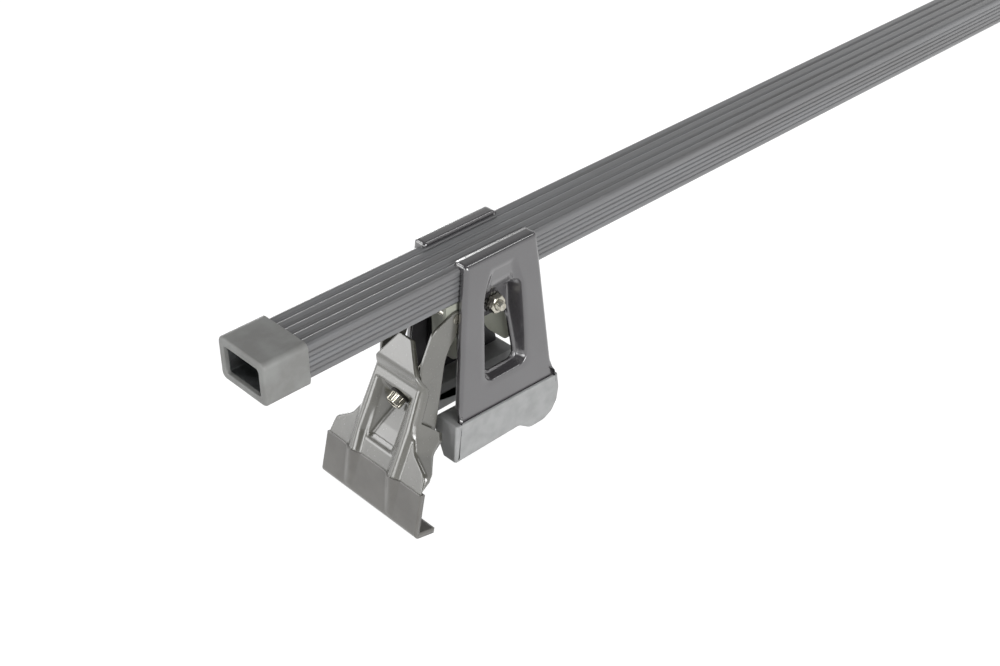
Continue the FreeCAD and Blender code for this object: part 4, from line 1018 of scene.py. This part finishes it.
    def build_ears(self, end: End) -> None:
        """Two ears that run back from the frame to the pivot: stacked rounded outlines.

        Args:
            end: which foot.
        """
        corners = np.array([
            (2.3, 55), (2.6, 31), (4.2, 26), (26.5, 23), (22.6, 39), (13.6, 75), (17.96, 93.2), (19.36, 97.0),
            (17.96, 101.4), (13.96, 103.0), (8.96, 100.8), (-2.4, 89), (-3, 68),
        ])
        radii = np.array([6, 4, 3, 4, 20, 30, 4, 3, 3, 3, 6, 6, 20])
        counts = [26, 6, 24, 18, 36, 20, 5, 5, 5, 6, 14, 22, 16]
        loop = even_loop(corners, radii, counts)
        angles = np.linspace(0, math.pi / 2, 5)
        levels = [(0.0, 2.2), (0.0, 0.9)]
        levels += [(0.6 * (1 - math.cos(a)), 0.6 * (1 - math.sin(a))) for a in angles]
        levels += [(self.sheet - level, shrink) for level, shrink in reversed(levels)]
        rows, columns = len(levels), len(loop)
        for mark, sign in (("left", 1), ("right", -1)):
            outlines = np.stack([inset(loop, shrink) for _, shrink in levels])
            v = sign * (self.ridge_half - 0.06 - np.array([level for level, _ in levels]))[:, None]
            points = ClampFrame(end).world(outlines[..., 0], np.broadcast_to(v, outlines.shape[:2]), outlines[..., 1])
            caps = [list(range(columns)), list(range((rows - 1) * columns, rows * columns))]
            put_piece(f"{end.word}_clamp_ear_{mark}", points, grid_faces(rows, columns, ring_columns=True),
                      CLAMP_POWDER, f"{end.word}_clamp", [f"{end.word}_clamp_plate"], caps, sharp=50)

    def build_coat(self, end: End) -> None:
        """Carries the coat from the seam down the skirt, round the hook's corner and along the hook.

        Formula: above the corner the coat is the plate's face lifted by its thickness; the corner is
        an arc that touches skirt and hook, and the hook is straight.

        Args:
            end: which foot.
        """
        kick = math.radians(self.kick)
        along = np.array([math.cos(kick), math.sin(kick)])
        corner = np.array([self.base + self.skirt * math.sin(kick), -self.skirt * math.cos(kick)])
        up_dir = np.array([-math.sin(kick), math.cos(kick)])
        outer_corner = corner - self.coat * (along + up_dir)
        tip = corner + self.hook * along + self.coat * (along - up_dir)
        r = self.hook_round
        centre = outer_corner + r * (along + up_dir)
        angles = np.linspace(math.pi + kick, 1.5 * math.pi + kick, 12)
        arc = centre + r * np.stack([np.cos(angles), np.sin(angles)], axis=1)
        s = np.linspace(0.0, -23.6, 44)
        hook_line = arc[-1] + (tip - arc[-1]) * np.linspace(0, 1, 10)[1:, None]
        path = np.concatenate([arc, hook_line])
        all_s = np.concatenate([s, path[:, 1]])
        half = np.interp(all_s, [-28, 0], [self.hook_half, 40.5]) + self.coat
        half[len(s):] = self.hook_half + self.coat
        columns = self.columns(s)
        last = np.broadcast_to(columns[-1:], (len(path), columns.shape[1]))
        v = np.concatenate([columns, last]) * (half / (half - self.coat))[:, None]
        n_skirt = self.front(columns, s[:, None] + 0 * columns) - self.coat / math.cos(kick)
        n = np.concatenate([n_skirt, np.broadcast_to(path[:, :1], (len(path), columns.shape[1]))])
        up = np.concatenate([
            np.broadcast_to(s[:, None], columns.shape), np.broadcast_to(path[:, 1:], last.shape),
        ])
        points = ClampFrame(end).world(n, v, up)
        piece = put_piece(f"{end.word}_clamp_dipped_coat", points, grid_faces(*v.shape), DIPPED_VINYL,
                          f"{end.word}_clamp", [f"{end.word}_clamp_coat"], sharp=60)
        thicken(piece, self.sheet + 2 * self.coat - 0.1, np.array([-end.value, 0, 0.2]))


# Screws, nuts and washers


@dataclass(frozen=True)
class Fasteners:
    """Turned and hexagon pieces of a foot, in mm."""

    radius: float = 3.0
    pitch: float = 1.0
    thread_deep: float = 0.35
    flats: float = 10.0
    floor_v: float = 12.8
    bolt_w: float = -35.5
    washer: float = 1.2
    nut: float = 5.0
    head: float = 4.0
    proud: float = 3.2
    screw_rise: float = 28.0
    screw_length: float = 65.0

    @staticmethod
    def hexagon(angle: Array, flats: float) -> Array:
        """Radius of a hexagon with slightly rounded corners: flats / 2 over the cosine off each flat."""
        off = np.mod(angle, math.pi / 3) - math.pi / 6
        return np.minimum(flats / 2 / np.cos(off), flats / math.sqrt(3) * 0.992)

    def thread(self, height: Array, angle: Array) -> Array:
        """Radius of a thread: a triangle wave of height over pitch plus the turn, rounded at crest and root."""
        turn = np.mod(height / self.pitch + angle / (2 * math.pi), 1.0)
        return self.radius - self.thread_deep * ease(0.08, 0.92, np.abs(2 * turn - 1))

    @staticmethod
    def turned(name: str, axis: Axis, radius: Array, height: Array, finish: Finish, body: str, slot: str,
               nodes: list[str], ring: bool = False) -> None:
        """Puts a turned piece in place from its radius and height over rows and angle.

        Args:
            name: the piece's name.
            axis: where its axis lies.
            radius: radius of each row and column.
            height: height of each row, or of each row and column.
            finish: what it is dressed with.
            body: the body that it rides on.
            slot: the record's material slot; not used.
            nodes: the CAD nodes that it stands for.
            ring: whether the last row joins the first.
        """
        height = np.broadcast_to(height if height.ndim == 2 else height[:, None], radius.shape)
        angle = np.linspace(0, 2 * math.pi, radius.shape[1], endpoint=False)[None]
        points = axis.points(radius, height, angle)
        put_piece(name, points, grid_faces(*radius.shape, ring, True), finish, body, nodes, sharp=32)

    def chamfered(self, angle: Array, from_face: Array, flats: float) -> Array:
        """A hexagon cut by a 30 degree cone at its face: the smaller of the two radii."""
        return np.minimum(self.hexagon(angle, flats), flats / 2 * 0.96 + from_face * math.tan(math.radians(60)))

    def build_cross_bolt(self, end: End) -> None:
        """Builds the bolt, nut and both washers that go through a foot's webs.

        Args:
            end: which foot.
        """
        foot = FootFrame(end)
        body = f"{end.word}_foot"
        reach = self.floor_v + self.washer
        start = foot.world(0.0, -reach - self.nut - self.proud, self.bolt_w)
        axis = Axis(tuple(start.tolist()), (0.0, float(end.value), 0.0))
        angle = np.linspace(0, 2 * math.pi, 72, endpoint=False)[None]
        total = 2 * reach + self.nut + self.proud
        shank = np.concatenate([np.linspace(0.7, 14, 66), [14.4, total - 0.2]])
        rows = [np.full((1, 72), r) for r in (0.0, 1.2, 2.2, 2.3, 2.7)]
        heights = [0.0, 0.0, 0.0, 0.02, 0.45]
        body_rows = np.where(shank[:, None] < 14.2, self.thread(shank[:, None], angle), self.radius)
        head_z = np.array([0.0, 0.0, 0.35, self.head - 0.9, self.head, self.head, self.head])
        head_r = np.concatenate([
            np.full((1, 72), self.radius), self.chamfered(angle, np.zeros((1, 1)) + 0.35, self.flats) * 0.985,
            self.hexagon(angle, self.flats), self.hexagon(angle, self.flats),
            self.chamfered(angle, np.zeros((1, 1)), self.flats), np.full((1, 72), 3.6), np.zeros((1, 72)),
        ])
        radius = np.concatenate(rows + [body_rows, head_r])
        height = np.concatenate([heights, shank, total + head_z])
        self.turned(f"{end.word}_cross_bolt_turned", axis, radius, height, PLATED_ZINC, body, "zinc",
                    [f"{end.word}_cross_bolt"])
        nut_start = foot.world(0.0, -reach - self.nut, self.bolt_w)
        self.build_nut(end, Axis(tuple(nut_start.tolist()), (0.0, float(end.value), 0.0)))
        for face, level in ((Face.FRONT, -reach), (Face.BACK, self.floor_v)):
            start = foot.world(0.0, level, self.bolt_w)
            self.build_toothed_washer(f"{end.word}_{face.word}_washer",
                                      Axis(tuple(start.tolist()), (0.0, float(end.value), 0.0)), body)

    def build_nut(self, end: End, axis: Axis) -> None:
        """Hexagon nut with both faces chamfered and its bore countersunk.

        Args:
            end: which foot.
            axis: the bore's axis, from the seen face inwards.
        """
        angle = np.linspace(0, 2 * math.pi, 96, endpoint=False)[None]
        one = np.ones_like(angle)
        bore = self.radius + 0.02
        z = np.array([self.nut - 0.4, 0.5, 0.0, 0.0, 0.28, 0.56, 0.84, 1.1, self.nut - 1.1, self.nut - 0.5,
                      self.nut, self.nut])
        radius = np.concatenate([
            one * bore, one * bore, one * (bore + 0.5), one * (self.flats / 2 * 0.95),
            *[self.chamfered(angle, np.full((1, 1), height), self.flats) for height in (0.28, 0.56, 0.84, 1.1)],
            self.hexagon(angle, self.flats), self.chamfered(angle, np.full((1, 1), 0.5), self.flats),
            one * (self.flats / 2 * 0.95), one * (bore + 0.5),
        ])
        self.turned(f"{end.word}_cross_nut_hexagon", axis, radius, z, PLATED_ZINC, f"{end.word}_foot", "zinc",
                    [f"{end.word}_cross_nut"], ring=True)

    def build_toothed_washer(self, name: str, axis: Axis, body: str) -> None:
        """Lock washer whose rim is cut into twisted teeth.

        Formula: the rim's radius follows a flattened sine of 14 teeth, and its height a saw of the same.

        Args:
            name: the node that it stands for.
            axis: the washer's axis.
            body: the body that it rides on.
        """
        angle = np.linspace(0, 2 * math.pi, 168, endpoint=False)[None]
        tooth = np.clip(np.sin(14 * angle) * 2.2, -1, 1)
        one = np.ones_like(angle)
        outer = 6.1 + 0.5 * tooth
        lean = 0.22 * np.cos(14 * angle)
        radius = np.concatenate([
            one * 3.05, one * 3.05, one * 3.4, one * 5.0, outer - 0.2, outer, outer, outer - 0.2, one * 5.0, one * 3.4,
        ])
        height = np.concatenate([
            one * 0.9, one * 0.3, one * 0.12, one * 0.15, 0.24 + lean, 0.34 + lean, 0.86 + lean, 0.96 + lean,
            one * 1.05, one * 1.08,
        ])
        self.turned(name + "_teeth", axis, radius, np.clip(height, 0.0, self.washer), PHOSPHATE_AND_SOCKET_SHADE, body,
                    "washer_dark", [name], ring=True)

    def seat(self, end: End, along: float) -> Axis:
        """The clamp screw's axis.

        Args:
            end: which foot.
            along: how far past its seat the axis starts.

        Returns:
            The axis, towards the swivel nut.
        """
        sine, cosine = math.sin(math.radians(self.screw_rise)), math.cos(math.radians(self.screw_rise))
        start = FootFrame(end).world(-59.272 + along * cosine, 0.0, -78.289 + along * sine)
        return Axis(tuple(start.tolist()), (end.value * cosine, 0.0, sine))

    def build_clamp_screw(self, end: End) -> None:
        """Socket screw with a knurled head and its dished washer.

        Formula: the knurl is the radius less a rectified sine of 24 grooves; the socket's rows follow a
        hexagon; the shank follows the thread.

        Args:
            end: which foot.
        """
        angle = np.linspace(0, 2 * math.pi, 144, endpoint=False)[None]
        one = np.ones_like(angle)
        under, high = -1.2, 6.0
        knurl = 5.0 - 0.42 * np.abs(np.sin(12 * angle))
        hexed = self.hexagon(angle, 5.0)
        top = under - high
        rows = [one * 0, hexed, hexed * 1.02, hexed * 1.1, one * 3.5, one * 4.3, one * 4.75, knurl, knurl, one * 4.8,
                one * 4.6, one * 3.0]
        heights = [top + 3.2, top + 3.0, top + 0.3, top, top, top, top + 0.35, top + 0.8, under - 0.5, under - 0.2,
                   under, under]
        shank = np.arange(0.2, self.screw_length - 2.6, 0.25)
        shank_rows = self.thread(shank[:, None], angle)
        tip = [one * 2.4, one * 1.7, one * 0]
        tip_z = [self.screw_length + under - 0.5, self.screw_length + under, self.screw_length + under]
        radius = np.concatenate(rows + [shank_rows] + tip)
        height = np.concatenate([heights, shank, tip_z])
        self.turned(f"{end.word}_clamp_screw_knurled", self.seat(end, 0.0), radius, height, PLATED_ZINC,
                    f"{end.word}_screw", "zinc", [f"{end.word}_clamp_screw"])
        # A separate dark lining in the socket: painted shade for the socket's depth
        socket = np.concatenate([one * 0, hexed * 0.95, hexed * 0.95, hexed * 1.02, hexed * 1.02, one * 0])
        socket_z = top + np.array([2.9, 2.9, 0.15, 0.15, 3.1, 3.1])
        self.turned(f"{end.word}_clamp_screw_socket", self.seat(end, 0.0), socket, socket_z, PHOSPHATE_AND_SOCKET_SHADE,
                    f"{end.word}_screw", "zinc", [f"{end.word}_clamp_screw"])
        ring = one * np.array([[3.45], [3.45], [3.7], [5.9], [6.2], [6.2], [5.9], [3.7]])
        ring_z = np.array([0.95, 0.25, 0.0, 0.0, 0.3, 0.9, 1.2, 1.2])
        self.turned(f"{end.word}_seat_washer_disc", self.seat(end, -1.2), ring, ring_z, PHOSPHATE_AND_SOCKET_SHADE,
                    f"{end.word}_clamp", "washer_dark", [f"{end.word}_seat_washer"], ring=True)


# Studio


@dataclass(frozen=True)
class Studio:
    """White ground, soft lamps and the photograph's camera."""

    eye: tuple[float, float, float] = (-0.92177, -0.53433, 0.58375)
    yaw: float = 43.763
    down: float = 34.591
    lens: float = 54.443
    sky: float = 0.1
    ground: float = 0.93

    def build_camera(self) -> None:
        """Stands the camera where the photograph was taken from."""
        camera = bpy.data.cameras.new("photograph")
        camera.lens = self.lens
        camera.sensor_width = 36.0
        camera.sensor_fit = "HORIZONTAL"
        camera.clip_start = 0.01
        holder = bpy.data.objects.new("photograph", camera)
        holder.location = self.eye
        holder.rotation_euler = (math.radians(90 - self.down), 0, math.radians(-self.yaw))
        bpy.context.scene.collection.objects.link(holder)
        bpy.context.scene.camera = holder

    def seen(self, tree: bpy.types.NodeTree) -> bpy.types.NodeSocket:
        """Is 1 for rays of the camera, of mirrors and of glass, and 0 for those that only light.

        Args:
            tree: node tree that takes the nodes.

        Returns:
            The output with that number.
        """
        path = add(tree, "ShaderNodeLightPath")
        two = add(tree, "ShaderNodeMath", {0: path.outputs["Is Camera Ray"], 1: path.outputs["Is Glossy Ray"]},
                  operation="MAXIMUM")
        return add(tree, "ShaderNodeMath", {0: two.outputs[0], 1: path.outputs["Is Transmission Ray"]},
                   operation="MAXIMUM").outputs[0]

    def build_world(self) -> None:
        """White to the eye, darker above and behind the camera to mirrors, and weak for everything else."""
        world = bpy.data.worlds.new("studio")
        bpy.context.scene.world = world
        world.use_nodes = True
        tree = world.node_tree
        tree.nodes.clear()
        toward = add(tree, "ShaderNodeTexCoord").outputs["Object"]
        height = add(tree, "ShaderNodeSeparateXYZ", {"Vector": toward}).outputs["Z"]
        falling = add(tree, "ShaderNodeMapRange", {"Value": height, "From Min": 0.32, "From Max": 0.6, "To Min": 1.0,
                                                   "To Max": 0.26}, interpolation_type="SMOOTHSTEP")
        side = add(tree, "ShaderNodeVectorMath", {0: toward, 1: (-0.62, -0.78, 0.05)}, operation="DOT_PRODUCT")
        dim = add(tree, "ShaderNodeMapRange", {"Value": side.outputs["Value"], "From Min": 0.35, "From Max": 0.9,
                                               "To Min": 1.0, "To Max": 0.15}, interpolation_type="SMOOTHSTEP")
        mirrored = add(tree, "ShaderNodeMath", {0: falling.outputs[0], 1: dim.outputs[0]}, operation="MULTIPLY")
        camera = add(tree, "ShaderNodeLightPath").outputs["Is Camera Ray"]
        shown = add(tree, "ShaderNodeMix", {0: camera, 2: mirrored.outputs[0], 3: falling.outputs[0]})
        strength = add(tree, "ShaderNodeMix", {0: self.seen(tree), 2: self.sky, 3: shown.outputs[0]})
        light = add(tree, "ShaderNodeBackground", {"Color": linear("#ffffff"), "Strength": strength.outputs[0]})
        add(tree, "ShaderNodeOutputWorld", {"Surface": light.outputs[0]})

    def build_ground(self) -> None:
        """A wide white ground that keeps the crossbar's shadow."""
        reach = np.linspace(-14, 14, 15)
        x, y = np.meshgrid(reach, reach, indexing="ij")
        points = np.stack([x, y, np.full_like(x, -0.0006)], axis=-1)
        mesh = bpy.data.meshes.new("ground")
        mesh.from_pydata(points.reshape(-1, 3).tolist(), [], grid_faces(15, 15).tolist())
        floor = bpy.data.objects.new("ground", mesh)
        bpy.context.scene.collection.objects.link(floor)
        material = bpy.data.materials.new("white_paper_ground")
        material.use_nodes = True
        tree = material.node_tree
        tree.nodes.clear()
        plain = add(tree, "ShaderNodeBsdfDiffuse", {"Color": linear("#909090")})
        glow = add(tree, "ShaderNodeMapRange", {"Value": self.seen(tree), "To Min": 0.0, "To Max": self.ground})
        lit = add(tree, "ShaderNodeEmission", {"Color": linear("#ffffff"), "Strength": glow.outputs[0]})
        both = add(tree, "ShaderNodeAddShader", {0: plain.outputs[0], 1: lit.outputs[0]})
        add(tree, "ShaderNodeOutputMaterial", {"Surface": both.outputs[0]})
        mesh.materials.append(material)

    def build_lamp(self, name: str, spot: tuple[float, float, float], target: tuple[float, float, float],
                   size: float, power: float) -> None:
        """Hangs a square soft lamp that looks at a target.

        Args:
            name: the lamp's name.
            spot: where it hangs, in metres.
            target: what it looks at.
            size: length of its side.
            power: its power in watts.
        """
        lamp = bpy.data.lights.new(name, "AREA")
        lamp.size = size
        lamp.energy = power
        holder = bpy.data.objects.new(name, lamp)
        away = np.array(spot) - np.array(target)
        flat = math.hypot(away[0], away[1])
        holder.location = spot
        holder.rotation_euler = (math.atan2(flat, away[2]), 0, math.atan2(away[1], away[0]) + math.pi / 2)
        bpy.context.scene.collection.objects.link(holder)

    def build(self) -> None:
        """Builds camera, world, ground and lamps."""
        self.build_camera()
        self.build_world()
        self.build_ground()
        middle = (-0.35, 0.0, 0.1)
        self.build_lamp("front_lamp", (-0.9, -3.0, 0.7), middle, 1.8, 100)
        self.build_lamp("side_lamp", (-2.7, 1.7, 0.8), middle, 1.6, 25)
        self.build_lamp("left_lamp", (-3.2, -0.6, 0.5), middle, 1.3, 26)
        self.build_lamp("back_lamp", (0.9, 3.0, 0.2), middle, 1.2, 32)
        self.build_lamp("top_lamp", (1.3, -0.7, 2.6), middle, 0.7, 7)
        self.build_lamp("rear_lamp", (-1.3, 1.9, 2.2), middle, 0.9, 15)
        scene = bpy.context.scene
        scene.view_settings.view_transform = "Standard"


def dress_plain_nodes() -> None:
    """Gives the carried-over CAD nodes their finish."""
    chosen = {"steel_tube": TUBE_ZINC}
    for end in End:
        # The saddle's powder coat is painted paler all over as painted light
        chosen[f"{end.word}_saddle"] = SADDLE_POWDER_PAINTED_LIGHT
        chosen[f"{end.word}_pivot_pin"] = PLATED_ZINC
        chosen[f"{end.word}_swivel_nut"] = PLATED_ZINC
    for name, finish in chosen.items():
        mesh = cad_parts[name].data
        mesh.materials.clear()
        mesh.materials.append(finish.material())


def main() -> None:
    """Builds the crossbar piece by piece, and the studio round it."""
    logging.basicConfig(level=logging.INFO, format="%(message)s", force=True)
    Studio().build()
    dress_plain_nodes()
    bar = Bar()
    bar.build_sleeve()
    for end in End:
        bar.build_cap(end)
        for face in Face:
            Shell().build(end, face)
            Pad().build(end, face)
        clamp = Clamp()
        clamp.build_plate(end)
        clamp.build_coat(end)
        fasteners = Fasteners()
        fasteners.build_cross_bolt(end)
        fasteners.build_clamp_screw(end)


if __name__ == "__main__":
    main()
